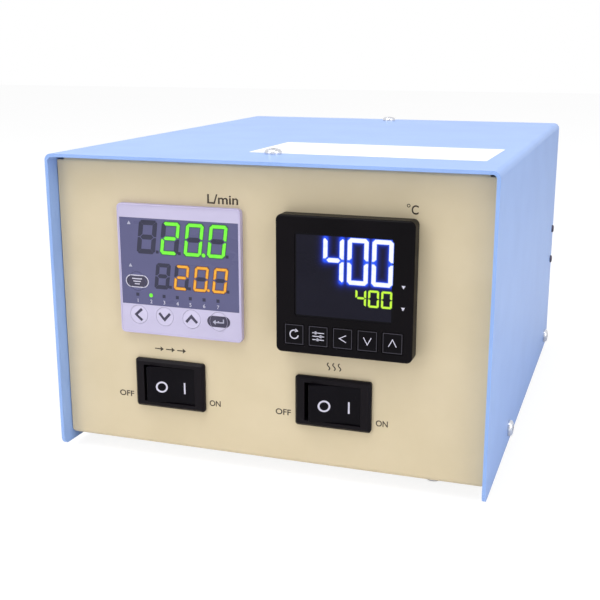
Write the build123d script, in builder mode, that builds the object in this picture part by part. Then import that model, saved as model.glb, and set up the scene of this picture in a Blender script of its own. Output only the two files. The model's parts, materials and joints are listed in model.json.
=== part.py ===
from build123d import *
import os

# Bench-top controller for a gas flow and a heater. Millimetres. X runs to the right as seen from the front,
# Y to the rear and Z up. The origin is under the middle of the whole object, on the surface it stands on.

# Case
cover_width = 163.0
cover_depth = 206.0
cover_height = 112.0        # from the top face to the lower edges of the sides
sheet = 1.2                 # steel sheet of cover and chassis
cover_bend = 2.6            # outside radius of the cover's top bends
cover_corner = 3.0          # rounding of the lower corners of its sides
case_gap = 0.3              # between the cover and the chassis inside it
foot_lift = 2.5             # the cover's lower edges above the table
floor_drop = 3.0            # the chassis floor above those edges
panel_recess = 6.0          # the front panel behind the cover's front edge
rear_recess = 2.0
chassis_bend = 1.8          # outside radius of the chassis bends
panel_corner = 2.0          # rounding of the front panel's lower corners
front_return = 26.0         # flanges at the top of the front and rear panels
rear_return = 20.0
side_flange = 14.0          # flanges turned up along the floor
side_flange_inset = 6.0
rear_flange = 12.0          # flanges turned forward at the sides of the rear panel
rear_flange_low, rear_flange_high = 22.0, 90.0

# Screws
screw_shank = 1.5           # radii
screw_head = 3.15
screw_head_height = 1.9
screw_length = 6.0
small_shank = 1.25
small_head = 1.8
small_head_height = 0.9
small_length = 4.0
dome_share = 0.7            # of a head's height that is rounded
cross_reach, cross_width, cross_depth = 1.1, 0.22, 0.55     # shares of a head's radius and height
thread_gap = 0.03           # radial, in a tapped hole
hole_gap = 0.2              # radial, in a plain hole
top_screw_x = -2.5
top_screw_depths = (24.0, 194.0)        # behind the cover's front edge
side_screw_depths = (56.0, 190.0)
side_screw_height = 3.7                 # above the underside of the floor
rear_screw_inset = 6.0                  # ahead of the cover's rear edge
rear_screw_heights = (44.5, 60.0)       # above the cover's lower edges

# Feet
foot_radius = 7.5
foot_edge = 0.5
foot_slope = 6.0            # degrees
foot_web = 1.2              # rubber left under the floor at the screw
foot_side_inset = 18.0      # from the chassis's sides
front_foot_inset = 34.0     # from the front and rear panels
rear_foot_inset = 22.0

# Panel instruments, both of the 48 mm square size
din_size = 48.0
din_body = 44.6
cutout_gap = 0.2
instrument_x = 31.3         # each side of the middle
instrument_depth = 60.0     # case behind the front panel's face
clamp_wall = 2.2
clamp_depth = 7.0
clamp_gap = 0.15
clamp_arm, clamp_arm_width = 14.0, 15.0
rib_width, rib_depth, rib_pitch, rib_count = 2.8, 0.7, 5.6, 5
rib_length, rib_end = 20.0, 2.0

flow_bezel_depth = 2.3
flow_corner = 1.6
flow_edge = 0.25
film_size = 47.0
film_corner = 1.2
film_pocket = 0.7
film_thickness = 0.5
flow_window_width = 46.2
flow_window_low, flow_window_high = -13.0, 19.0     # from the instrument's centre
flow_key_radius = 3.4
flow_key_dome = 0.35
flow_key_bulge = 0.1
flow_key_gap = 0.12
flow_key_travel = 0.3
flow_key_clear = 0.2        # left behind a key that is fully pressed

gasket_thickness = 1.0
heat_bezel_depth = 6.0
heat_corner = 2.0
heat_edge = 0.8
heat_window_width = 34.4
heat_window_low, heat_window_high = -10.8, 18.2
heat_window_corner = 1.0
heat_window_recess = 0.3
heat_window_thickness = 1.0
heat_key_width = 7.1
heat_key_height = 7.4
heat_key_corner = 0.6
heat_key_pitch = 8.65
heat_key_drop = 17.35       # below the instrument's centre
heat_key_gap = 0.15
heat_key_recess = 0.1
heat_key_length = 2.5
heat_key_travel = 0.5
heat_terminal_depth = 9.0
terminal_columns, terminal_rows = 4, 6
terminal_pitch_x, terminal_pitch_z = 11.0, 6.4
terminal_width, terminal_height, terminal_depth = 9.0, 5.0, 3.0

# Rocker switches
switch_width = 27.8
switch_height = 18.5
switch_corner = 1.0
switch_proud = 2.0
switch_bevel = 0.9
switch_body_width = 25.0
switch_body_height = 16.5
switch_body_depth = 18.0
switch_mouth_width = 20.5
switch_mouth_height = 14.2
switch_mouth_depth = 9.0
switch_share = 0.405        # of the panel's free height, left below the switches
instrument_share = 0.219    # of that height, between the switches and the instruments
flow_switch_x = -36.7
heater_switch_x = 26.3
rocker_width = 18.4
rocker_height = 13.6
rocker_front = 6.5          # ahead of the pivot
rocker_back = 2.2
rocker_back_width = 14.8
rocker_shoulder = 3.2
rocker_edge = 0.4
rocker_dish = 1.3           # hollow of its face
rocker_tilt = 9.0           # each side of level
pivot_depth = 3.5           # behind the front panel's face
pivot_radius = 1.5
pivot_length = 0.8
pivot_gap = 0.05
snap_ear, snap_ear_length, snap_ear_height = 0.8, 3.2, 8.2
blade_width, blade_thickness, blade_length = 4.8, 0.8, 8.0
blade_pitch, blade_count = 8.0, 3

# Gas line
tube_radius = 3.0
tube_bore = 2.0
tube_bend = 14.0
tube_lead = 2.8             # straight run between a union and the first bend
tube_gap = 0.05
gas_height = 38.0           # centre line above the table
outlet_inset = 17.0         # from the chassis's left side
fitting_spacing = 28.0
tube_clearance = 1.5        # between the outlet tube's front run and the flow switch
block_width, block_length, block_height, block_edge = 28.0, 80.0, 26.0, 0.6
bracket_sheet, bracket_bend = 1.5, 3.0
bracket_foot = 9.0
bracket_inset = 10.0        # at both ends of the block
port_radius, port_depth = 4.8, 7.0
union_hex, union_length = 14.0, 9.0
nut_hex, nut_length = 12.0, 9.0
socket_depth = 12.0
valve_radius, valve_height, valve_edge = 10.0, 34.0, 1.7
valve_base, valve_base_height = 22.0, 3.4
valve_inset = 3.8           # of its base, from the block's end
valve_gap = 4.0             # behind the flow display's case
sensor_width, sensor_length, sensor_height = 26.0, 48.0, 43.0
fitting_reach = 18.0        # the bulkheads behind the rear panel
fitting_inside = 16.0
fitting_thread = 6.0
fitting_relief, fitting_chamfer = 0.5, 1.0
fitting_head = 7.0
fitting_head_length = 10.0
fitting_hex, fitting_hex_length = 16.0, 6.0
fitting_nut_length = 4.0

# Rear sockets
socket_inset = 32.0         # centre from the chassis's right side
socket_gap = 3.0            # between neighbouring flanges
mains_z = 31.0
mains_edge = 0.8
mains_flange_width, mains_flange_height, mains_flange = 50.0, 26.0, 3.0
mains_body_width, mains_body_height = 27.2, 20.2
mains_socket_width, mains_socket_height, mains_socket_depth = 24.2, 16.4, 16.5
mains_wall = 2.5
mains_screw_pitch = 40.0
mains_pin_width, mains_pin_thickness, mains_pin_length, mains_pin_spread = 4.0, 2.0, 12.0, 7.0
mains_pin_edge = 0.5
mains_earth_rise = 4.0
mains_tab = 8.0
fuse_radius, fuse_length = 6.0, 30.0
fuse_flange_radius, fuse_flange = 8.5, 2.0
fuse_cap_radius, fuse_cap_length, fuse_slot = 5.6, 9.0, 1.4
heater_socket_z = 68.0
heater_edge = 0.6
heater_flange_radius, heater_flange = 11.5, 2.5
heater_barrel_radius, heater_barrel_length = 8.0, 14.0
heater_ring_radius, heater_ring_length = 9.5, 7.0
heater_socket_radius, heater_socket_depth = 7.4, 9.0
heater_pin_radius, heater_pin_length, heater_pin_circle, heater_pins = 0.8, 4.5, 4.2, 4
heater_pin_edge, heater_pin_turn = 0.4, 45.0
sensor_flange_width, sensor_flange_height, sensor_flange = 22.0, 14.0, 2.0
sensor_body_width, sensor_body_height, sensor_body_depth = 16.5, 9.0, 18.0
sensor_slot, sensor_slot_depth, sensor_slot_pitch = 1.0, 9.0, 8.2
sensor_wide_slot, sensor_narrow_slot = 3.0, 2.2
vent_slots, vent_pitch, vent_width, vent_length = 7, 8.0, 2.5, 22.0
vent_inset = 35.0           # centre from the chassis's left side
vent_drop = 29.0            # centre below the chassis's top

# Supply, relay and terminal strip on the floor
unit_inset = 21.5           # supply and heat sink, from the chassis's right side
relay_gap = 8.0             # between the heat sink and the mains inlet's tabs
supply_gap = 3.0            # between the supply and the heat sink
supply_width, supply_length, supply_height, supply_bend = 51.0, 60.0, 28.0, 2.4
supply_slot, supply_slot_width, supply_slot_depth = 7.2, 2.4, 1.2
supply_pitch_x, supply_pitch_y, supply_slot_columns, supply_slot_rows = 10.2, 6.6, 4, 7
supply_terminal_width, supply_terminal_length, supply_terminal_height = 46.2, 10.0, 12.0
supply_way, supply_way_pitch, supply_way_depth, supply_ways = 6.4, 8.5, 4.0, 5
relay_width, relay_length, relay_height, relay_edge = 45.0, 54.0, 23.0, 0.8
relay_corner = 2.0
relay_well_width, relay_well_length, relay_well_depth = 11.6, 10.4, 7.0
relay_well_side, relay_well_end = 9.0, 7.0                  # centres from the relay's edges
sink_margin = 1.0           # ahead of and behind the relay
sink_width, sink_base, sink_height = 49.0, 4.0, 16.0
sink_fins, sink_fin = 9, 1.5
strip_inset = 18.5          # centre from the chassis's right side
strip_screw_inset = 6.5     # first screw behind the front panel's face
strip_width, strip_height, strip_pitch, strip_end = 12.0, 13.0, 15.0, 3.2
strip_ways, strip_way, strip_way_width, strip_way_depth = 3, 4.4, 3.1, 5.2
strip_edge = 0.8

# Levels and depths worked out from the above
front_reach = heat_bezel_depth + gasket_thickness - panel_recess
rear_reach = fitting_reach - rear_recess
overall_depth = front_reach + cover_depth + rear_reach
cover_front = front_reach - overall_depth / 2
cover_rear = cover_front + cover_depth
panel_front = cover_front + panel_recess
panel_back = panel_front + sheet
rear_face = cover_rear - rear_recess
rear_inside = rear_face - sheet
cover_top = foot_lift + cover_height
half_cover = cover_width / 2
chassis_width = cover_width - 2 * (sheet + case_gap)
half_chassis = chassis_width / 2
chassis_low = foot_lift + floor_drop
chassis_top = cover_top - sheet - case_gap
floor_top = chassis_low + sheet
tray_front = panel_front + side_flange_inset
tray_rear = rear_face - side_flange_inset
free_height = cover_height - din_size - switch_height
switch_z = foot_lift + switch_share * free_height + switch_height / 2
instrument_z = switch_z + (switch_height + din_size) / 2 + instrument_share * free_height
flow_x, heat_x = -instrument_x, instrument_x
flow_face = panel_front - flow_bezel_depth + film_pocket - film_thickness
heat_back = panel_front - gasket_thickness
heat_face = heat_back - heat_bezel_depth
side_screw_z = chassis_low + side_screw_height
side_screws_y = [cover_front + depth for depth in side_screw_depths]
top_screws_y = [cover_front + depth for depth in top_screw_depths]
rear_screw_y = cover_rear - rear_screw_inset
flange_root = 3 * chassis_bend          # where a flange's own profile starts on the flat sheet
foot_x = half_chassis - foot_side_inset
foot_rows = (panel_front + front_foot_inset, rear_face - rear_foot_inset)
foot_places = [(x, y) for y in foot_rows for x in (-foot_x, foot_x)]
foot_names = ("front_left_foot", "front_right_foot", "rear_left_foot", "rear_right_foot")
strip_screws_y = (panel_front + strip_screw_inset, panel_front + strip_screw_inset + strip_pitch)
outlet_x = outlet_inset - half_chassis
inlet_x = outlet_x + fitting_spacing
union_end = union_length + nut_length
tube_reach = tube_radius + tube_bend + tube_lead + union_end
behind_case = panel_front + instrument_depth + valve_gap - valve_inset
behind_switch = panel_front + switch_body_depth + tube_clearance + tube_reach
block_front = max(behind_case, behind_switch)
block_rear = block_front + block_length
valve_y = block_front + valve_inset + valve_base / 2
block_low = gas_height - block_height / 2
block_top = block_low + block_height
mains_x = half_chassis - socket_inset
fuse_x = mains_x - mains_flange_width / 2 - socket_gap - fuse_flange_radius
heater_socket_x, sensor_socket_x = mains_x, fuse_x
vent_x = vent_inset - half_chassis
mains_face = rear_face + mains_flange
pin_back = mains_face - mains_socket_depth - mains_wall - mains_tab
strip_x = half_chassis - strip_inset
sink_length = relay_length + 2 * sink_margin
sink_top = floor_top + sink_height
relay_x = half_chassis - unit_inset - sink_width / 2
relay_y = pin_back - relay_gap - sink_length / 2
supply_x = half_chassis - unit_inset - supply_width / 2
supply_y = relay_y - (sink_length + supply_length) / 2 - supply_gap
supply_front = supply_y - supply_length / 2
supply_terminal_y = supply_front - supply_terminal_length / 2
switches = (("flow_switch", flow_switch_x), ("heater_switch", heater_switch_x))

flow_keys = {
    "flow_display_key": (-16.8, -4.4),
    "flow_left_key": (-16.6, -16.9),
    "flow_down_key": (-6.2, -16.9),
    "flow_up_key": (4.5, -16.9),
    "flow_enter_key": (15.1, -16.9),
}
heat_keys = {
    "heat_mode_key": -2,
    "heat_menu_key": -1,
    "heat_left_key": 0,
    "heat_down_key": 1,
    "heat_up_key": 2,
}


def upright(y):
    """A plane at depth y that faces the front, with its own x to the right and y up."""
    return Plane((0, y, 0), x_dir=(1, 0, 0), z_dir=(0, -1, 0))


def heat_key_place(step):
    """The centre of one square key on the controller's face."""
    return (heat_x + step * heat_key_pitch, instrument_z - heat_key_drop)


def cross_screw(head, head_height, shank, length):
    """A pan-head screw with a cross recess, its head standing on z = 0 and its shank below."""
    with BuildPart() as screw:
        with BuildSketch():
            Circle(head)
        extrude(amount=head_height)
        fillet(screw.edges().group_by(Axis.Z)[-1], head_height * dome_share)
        with BuildSketch():
            Circle(shank)
        extrude(amount=-length)
        with BuildSketch(Plane.XY.offset(head_height)):
            Rectangle(head * cross_reach, head * cross_width)
            Rectangle(head * cross_width, head * cross_reach)
        extrude(amount=-head_height * cross_depth, mode=Mode.SUBTRACT)
    return screw.part


os.makedirs("parts", exist_ok=True)
pan_screw = cross_screw(screw_head, screw_head_height, screw_shank, screw_length)
small_screw = cross_screw(small_head, small_head_height, small_shank, small_length)

# Cover: one sheet folded down at both sides
with BuildPart() as cover:
    with BuildSketch(upright(cover_front)):
        with BuildLine():
            FilletPolyline(
                (-half_cover, foot_lift),
                (-half_cover, cover_top),
                (half_cover, cover_top),
                (half_cover, foot_lift),
                radius=cover_bend,
            )
            offset(amount=sheet, side=Side.RIGHT)
        make_face()
    extrude(amount=-cover_depth)
    fillet(cover.edges().filter_by(Axis.X).group_by(Axis.Z)[0], cover_corner)
    with BuildSketch(Plane.XY.offset(cover_top)):
        with Locations(*[(top_screw_x, y) for y in top_screws_y]):
            Circle(screw_shank + hole_gap)
    extrude(amount=-2 * sheet, mode=Mode.SUBTRACT)
    with BuildSketch(Plane.YZ.offset(-half_cover)):
        with Locations(*[(y, side_screw_z) for y in side_screws_y]):
            Circle(screw_shank + hole_gap)
        with Locations(*[(rear_screw_y, foot_lift + z) for z in rear_screw_heights]):
            Circle(small_shank + hole_gap)
    extrude(amount=cover_width, mode=Mode.SUBTRACT)
cover.part.label = "cover"
export_step(cover.part, "parts/cover.step")

# Chassis: front panel, floor and rear panel bent from one strip, with returns and side flanges
with BuildPart() as chassis:
    with BuildSketch(Plane.YZ.offset(-half_chassis)):
        with BuildLine():
            FilletPolyline(
                (panel_front + front_return, chassis_top),
                (panel_front, chassis_top),
                (panel_front, chassis_low),
                (rear_face, chassis_low),
                (rear_face, chassis_top),
                (rear_face - rear_return, chassis_top),
                radius=chassis_bend,
            )
            offset(amount=sheet, side=Side.LEFT)
        make_face()
    extrude(amount=chassis_width)

    # Flanges along the floor, with the flat strip cut back to the start of each bend
    tray_middle = (tray_front + tray_rear) / 2
    tray_length = tray_rear - tray_front
    with BuildSketch(Plane.XY.offset(chassis_low)):
        with Locations((-half_chassis, tray_middle), (half_chassis, tray_middle)):
            Rectangle(2 * chassis_bend, tray_length)
    extrude(amount=sheet, mode=Mode.SUBTRACT)
    for side in (-1, 1):
        with BuildSketch(upright(tray_front)):
            with BuildLine():
                FilletPolyline(
                    (side * (half_chassis - flange_root), chassis_low),
                    (side * half_chassis, chassis_low),
                    (side * half_chassis, chassis_low + side_flange),
                    radius=chassis_bend,
                )
                offset(amount=sheet, side=Side.LEFT if side > 0 else Side.RIGHT)
            make_face()
        extrude(amount=-tray_length)

    # Flanges turned forward at the sides of the rear panel
    flange_height = rear_flange_high - rear_flange_low
    with BuildSketch(upright(rear_face)):
        with Locations(
            (-half_chassis, (rear_flange_low + rear_flange_high) / 2),
            (half_chassis, (rear_flange_low + rear_flange_high) / 2),
        ):
            Rectangle(2 * chassis_bend, flange_height)
    extrude(amount=sheet, mode=Mode.SUBTRACT)
    for side in (-1, 1):
        with BuildSketch(Plane.XY.offset(rear_flange_low)):
            with BuildLine():
                FilletPolyline(
                    (side * (half_chassis - flange_root), rear_face),
                    (side * half_chassis, rear_face),
                    (side * half_chassis, rear_face - rear_flange),
                    radius=chassis_bend,
                )
                offset(amount=sheet, side=Side.RIGHT if side > 0 else Side.LEFT)
            make_face()
        extrude(amount=flange_height)

    # The returns stop short of the cover's bends
    with BuildSketch(Plane.XY.offset(chassis_top)):
        with Locations((-half_chassis, tray_middle), (half_chassis, tray_middle)):
            Rectangle(2 * cover_bend, rear_face - panel_front)
    extrude(amount=-sheet, mode=Mode.SUBTRACT)

    # Rounded lower corners of the front panel
    panel_height = chassis_top - chassis_low
    with BuildSketch(upright(panel_front)):
        with Locations((0, chassis_low + panel_height / 2)):
            Rectangle(chassis_width, panel_height)
            RectangleRounded(chassis_width, panel_height, panel_corner, mode=Mode.SUBTRACT)
        with Locations((0, chassis_top)):
            Rectangle(chassis_width, panel_height, mode=Mode.SUBTRACT)
    extrude(amount=-side_flange_inset, mode=Mode.SUBTRACT)

    # Openings for the instruments and switches
    with BuildSketch(upright(panel_front)):
        with Locations((flow_x, instrument_z), (heat_x, instrument_z)):
            Rectangle(din_body + 2 * cutout_gap, din_body + 2 * cutout_gap)
        with Locations(*[(x, switch_z) for _, x in switches]):
            Rectangle(switch_body_width + 2 * cutout_gap, switch_body_height + 2 * cutout_gap)
    extrude(amount=-sheet, mode=Mode.SUBTRACT)

    # Openings for the bulkheads and sockets
    with BuildSketch(upright(rear_inside)):
        with Locations((inlet_x, gas_height), (outlet_x, gas_height)):
            Circle(fitting_thread + hole_gap)
        with Locations((mains_x, mains_z)):
            Rectangle(mains_body_width + 2 * cutout_gap, mains_body_height + 2 * cutout_gap)
            with GridLocations(mains_screw_pitch, 0, 2, 1):
                Circle(screw_shank + thread_gap)
        with Locations((fuse_x, mains_z)):
            Circle(fuse_radius + hole_gap)
        with Locations((heater_socket_x, heater_socket_z)):
            Circle(heater_barrel_radius + hole_gap)
        with Locations((sensor_socket_x, heater_socket_z)):
            Rectangle(sensor_body_width + 2 * cutout_gap, sensor_body_height + 2 * cutout_gap)
        with Locations((vent_x, chassis_top - vent_drop)):
            with GridLocations(vent_pitch, 0, vent_slots, 1):
                SlotOverall(vent_length, vent_width, rotation=90)
    extrude(amount=-sheet, mode=Mode.SUBTRACT)

    # Tapped holes for the cover's screws, plain ones for what stands on the floor
    with BuildSketch(Plane.XY.offset(chassis_top)):
        with Locations(*[(top_screw_x, y) for y in top_screws_y]):
            Circle(screw_shank + thread_gap)
    extrude(amount=-sheet, mode=Mode.SUBTRACT)
    with BuildSketch(Plane.YZ.offset(-half_chassis)):
        with Locations(*[(y, side_screw_z) for y in side_screws_y]):
            Circle(screw_shank + thread_gap)
        with Locations(*[(rear_screw_y, foot_lift + z) for z in rear_screw_heights]):
            Circle(small_shank + thread_gap)
    extrude(amount=chassis_width, mode=Mode.SUBTRACT)
    with BuildSketch(Plane.XY.offset(chassis_low)):
        with Locations(*foot_places):
            Circle(screw_shank + thread_gap)
        with Locations(*[(strip_x, y) for y in strip_screws_y]):
            Circle(screw_shank + thread_gap)
    extrude(amount=sheet, mode=Mode.SUBTRACT)
chassis.part.label = "chassis"
export_step(chassis.part, "parts/chassis.step")

# Screws of the cover
with BuildPart() as top_screws:
    with Locations(*[(top_screw_x, y, cover_top) for y in top_screws_y]):
        add(pan_screw)
top_screws.part.label = "top_screws"
export_step(top_screws.part, "parts/top_screws.step")

with BuildPart() as side_screws:
    for side in (-1, 1):
        for y in side_screws_y:
            with Locations(Plane((side * half_cover, y, side_screw_z), x_dir=(0, 1, 0), z_dir=(side, 0, 0))):
                add(pan_screw)
side_screws.part.label = "side_screws"
export_step(side_screws.part, "parts/side_screws.step")

with BuildPart() as rear_edge_screws:
    for side in (-1, 1):
        for z in rear_screw_heights:
            place = (side * half_cover, rear_screw_y, foot_lift + z)
            with Locations(Plane(place, x_dir=(0, 1, 0), z_dir=(side, 0, 0))):
                add(small_screw)
rear_edge_screws.part.label = "rear_edge_screws"
export_step(rear_edge_screws.part, "parts/rear_edge_screws.step")

# Rubber feet, each held by a screw from below
for foot_name, (x, y) in zip(foot_names, foot_places):
    with BuildPart() as foot:
        with BuildSketch(Plane.XY.offset(chassis_low)):
            with Locations((x, y)):
                Circle(foot_radius)
        extrude(amount=-chassis_low, taper=foot_slope)
        fillet(foot.edges().group_by(Axis.Z)[0], foot_edge)
        with BuildSketch():
            with Locations((x, y)):
                Circle(screw_head + hole_gap)
        extrude(amount=chassis_low - foot_web, mode=Mode.SUBTRACT)
        with BuildSketch():
            with Locations((x, y)):
                Circle(screw_shank + hole_gap)
        extrude(amount=chassis_low, mode=Mode.SUBTRACT)
    foot.part.label = foot_name
    export_step(foot.part, f"parts/{foot_name}.step")

# Terminal strip behind the front panel, with its screws put in from below
strip_low, strip_high = strip_screws_y[0] - strip_end, strip_screws_y[1] + strip_end
with BuildPart() as terminal_strip:
    with BuildSketch(Plane.XY.offset(floor_top)):
        with Locations((strip_x, (strip_low + strip_high) / 2)):
            Rectangle(strip_width, strip_high - strip_low)
    extrude(amount=strip_height)
    fillet(terminal_strip.edges().filter_by(Axis.Y).group_by(Axis.Z)[-1], strip_edge)
    with BuildSketch(Plane.XY.offset(floor_top + strip_height)):
        with Locations((strip_x, (strip_low + strip_high) / 2)):
            with GridLocations(0, strip_way, 1, strip_ways):
                Rectangle(strip_width, strip_way_width)
    extrude(amount=-strip_way_depth, mode=Mode.SUBTRACT)
    with BuildSketch(Plane.XY.offset(floor_top)):
        with Locations(*[(strip_x, y) for y in strip_screws_y]):
            Circle(screw_shank + thread_gap)
    extrude(amount=screw_length, mode=Mode.SUBTRACT)
terminal_strip.part.label = "terminal_strip"
export_step(terminal_strip.part, "parts/terminal_strip.step")

# Screws put in from below, through the feet and into the strip
with BuildPart() as floor_screws:
    for x, y, z in (
        *[(x, y, chassis_low - foot_web) for x, y in foot_places],
        *[(strip_x, y, chassis_low) for y in strip_screws_y],
    ):
        with Locations(Plane((x, y, z), x_dir=(1, 0, 0), z_dir=(0, 0, -1))):
            add(pan_screw)
floor_screws.part.label = "floor_screws"
export_step(floor_screws.part, "parts/floor_screws.step")

# Flow display: moulded bezel with a pocket for the film, and a hole behind each key
with BuildPart() as flow_bezel:
    with BuildSketch(upright(panel_front)):
        with Locations((flow_x, instrument_z)):
            RectangleRounded(din_size, din_size, flow_corner)
    extrude(amount=flow_bezel_depth)
    fillet(flow_bezel.faces().sort_by(Axis.Y)[0].edges(), flow_edge)
    with BuildSketch(upright(panel_front - flow_bezel_depth)):
        with Locations((flow_x, instrument_z)):
            RectangleRounded(film_size, film_size, film_corner)
    extrude(amount=-film_pocket, mode=Mode.SUBTRACT)
    with BuildSketch(upright(panel_front)):
        with Locations(*[(flow_x + x, instrument_z + z) for x, z in flow_keys.values()]):
            Circle(flow_key_radius + flow_key_gap)
    extrude(amount=flow_bezel_depth, mode=Mode.SUBTRACT)
flow_bezel.part.label = "flow_bezel"
export_step(flow_bezel.part, "parts/flow_bezel.step")

flow_window_height = flow_window_high - flow_window_low
flow_window_z = instrument_z + (flow_window_low + flow_window_high) / 2
with BuildPart() as flow_film:
    with BuildSketch(upright(flow_face)):
        with Locations((flow_x, instrument_z)):
            RectangleRounded(film_size, film_size, film_corner)
        with Locations((flow_x, flow_window_z)):
            Rectangle(flow_window_width, flow_window_height, mode=Mode.SUBTRACT)
        with Locations(*[(flow_x + x, instrument_z + z) for x, z in flow_keys.values()]):
            Circle(flow_key_radius + flow_key_gap, mode=Mode.SUBTRACT)
    extrude(amount=-film_thickness)
flow_film.part.label = "flow_film"
export_step(flow_film.part, "parts/flow_film.step")

with BuildPart() as flow_window:
    with BuildSketch(upright(flow_face)):
        with Locations((flow_x, flow_window_z)):
            Rectangle(flow_window_width, flow_window_height)
        with Locations(*[(flow_x + x, instrument_z + z) for x, z in flow_keys.values()]):
            Circle(flow_key_radius + flow_key_gap, mode=Mode.SUBTRACT)
    extrude(amount=-film_thickness)
flow_window.part.label = "flow_window"
export_step(flow_window.part, "parts/flow_window.step")

flow_key_back = panel_front - flow_key_travel - flow_key_clear
for key_name, (x, z) in flow_keys.items():
    with BuildPart() as flow_key:
        with BuildSketch(Plane((flow_x + x, flow_face, instrument_z + z), x_dir=(1, 0, 0), z_dir=(0, 0, 1))):
            with BuildLine():
                SagittaArc((0, -flow_key_dome), (flow_key_radius, 0), flow_key_bulge)
                Polyline(
                    (flow_key_radius, 0),
                    (flow_key_radius, flow_key_back - flow_face),
                    (0, flow_key_back - flow_face),
                    (0, -flow_key_dome),
                )
            make_face()
        revolve(axis=Axis((flow_x + x, flow_face, instrument_z + z), (0, 1, 0)))
    flow_key.part.label = key_name
    export_step(flow_key.part, f"parts/{key_name}.step")

# Cases of both instruments behind the panel, ribbed where the clamp frames grip them
for case_name, x, length in (
    ("flow_case", flow_x, instrument_depth),
    ("heat_case", heat_x, instrument_depth - heat_terminal_depth),
):
    front = panel_front if case_name == "flow_case" else heat_back
    with BuildPart() as case:
        with BuildSketch(upright(front)):
            with Locations((x, instrument_z)):
                RectangleRounded(din_body, din_body, flow_corner)
        extrude(amount=panel_front - front - length)
        chamfer(case.faces().sort_by(Axis.Y)[-1].edges(), rib_depth)
        with BuildSketch(upright(panel_front + length - rib_end)):
            with Locations((x, instrument_z)):
                with GridLocations(din_body, rib_pitch, 2, rib_count):
                    Rectangle(2 * rib_depth, rib_width)
        extrude(amount=rib_length, mode=Mode.SUBTRACT)
    case.part.label = case_name
    export_step(case.part, f"parts/{case_name}.step")

# Clamp frames pushed over both cases from behind, each with two long side arms
clamp_size = din_body + 2 * (clamp_gap + clamp_wall)
with BuildPart() as clamp_frames:
    with BuildSketch(upright(panel_back)):
        with Locations((flow_x, instrument_z), (heat_x, instrument_z)):
            RectangleRounded(clamp_size, clamp_size, flow_corner)
            Rectangle(din_body + 2 * clamp_gap, din_body + 2 * clamp_gap, mode=Mode.SUBTRACT)
    extrude(amount=-clamp_depth)
    with BuildSketch(upright(panel_back + clamp_depth)):
        with Locations((flow_x, instrument_z), (heat_x, instrument_z)):
            with GridLocations(clamp_size - clamp_wall, 0, 2, 1):
                Rectangle(clamp_wall, clamp_arm_width)
    extrude(amount=-clamp_arm)
clamp_frames.part.label = "clamp_frames"
export_step(clamp_frames.part, "parts/clamp_frames.step")

# Temperature controller: deep bezel with a window and five square keys
with BuildPart() as heat_gasket:
    with BuildSketch(upright(heat_back)):
        with Locations((heat_x, instrument_z)):
            RectangleRounded(din_size - heat_edge, din_size - heat_edge, heat_corner - heat_edge / 2)
            Rectangle(din_body + 2 * cutout_gap, din_body + 2 * cutout_gap, mode=Mode.SUBTRACT)
    extrude(amount=-gasket_thickness)
heat_gasket.part.label = "heat_gasket"
export_step(heat_gasket.part, "parts/heat_gasket.step")

heat_window_height = heat_window_high - heat_window_low
heat_window_z = instrument_z + (heat_window_low + heat_window_high) / 2
with BuildPart() as heat_bezel:
    with BuildSketch(upright(heat_back)):
        with Locations((heat_x, instrument_z)):
            RectangleRounded(din_size, din_size, heat_corner)
    extrude(amount=heat_bezel_depth)
    fillet(heat_bezel.faces().sort_by(Axis.Y)[0].edges(), heat_edge)
    with BuildSketch(upright(heat_face)):
        with Locations((heat_x, heat_window_z)):
            RectangleRounded(heat_window_width, heat_window_height, heat_window_corner)
    extrude(amount=-(heat_window_recess + heat_window_thickness), mode=Mode.SUBTRACT)
    with BuildSketch(upright(heat_face)):
        with Locations(*[heat_key_place(step) for step in heat_keys.values()]):
            RectangleRounded(
                heat_key_width + 2 * heat_key_gap,
                heat_key_height + 2 * heat_key_gap,
                heat_key_corner + heat_key_gap,
            )
    extrude(amount=-(heat_key_recess + heat_key_length + 2 * heat_key_travel), mode=Mode.SUBTRACT)
heat_bezel.part.label = "heat_bezel"
export_step(heat_bezel.part, "parts/heat_bezel.step")

with BuildPart() as heat_window:
    with BuildSketch(upright(heat_face + heat_window_recess)):
        with Locations((heat_x, heat_window_z)):
            RectangleRounded(heat_window_width, heat_window_height, heat_window_corner)
    extrude(amount=-heat_window_thickness)
heat_window.part.label = "heat_window"
export_step(heat_window.part, "parts/heat_window.step")

for key_name, step in heat_keys.items():
    with BuildPart() as heat_key:
        with BuildSketch(upright(heat_face + heat_key_recess)):
            with Locations(heat_key_place(step)):
                RectangleRounded(heat_key_width, heat_key_height, heat_key_corner)
        extrude(amount=-heat_key_length)
        fillet(heat_key.faces().sort_by(Axis.Y)[0].edges(), heat_key_gap)
    heat_key.part.label = key_name
    export_step(heat_key.part, f"parts/{key_name}.step")

heat_case_end = panel_front + instrument_depth - heat_terminal_depth
with BuildPart() as heat_terminals:
    with BuildSketch(upright(heat_case_end)):
        with Locations((heat_x, instrument_z)):
            Rectangle(din_body - 2 * rib_depth, din_body - 2 * rib_depth)
    extrude(amount=-heat_terminal_depth)
    with BuildSketch(upright(panel_front + instrument_depth)):
        with Locations((heat_x, instrument_z)):
            with GridLocations(terminal_pitch_x, terminal_pitch_z, terminal_columns, terminal_rows):
                Rectangle(terminal_width, terminal_height)
    extrude(amount=terminal_depth, mode=Mode.SUBTRACT)
heat_terminals.part.label = "heat_terminals"
export_step(heat_terminals.part, "parts/heat_terminals.step")

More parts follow.
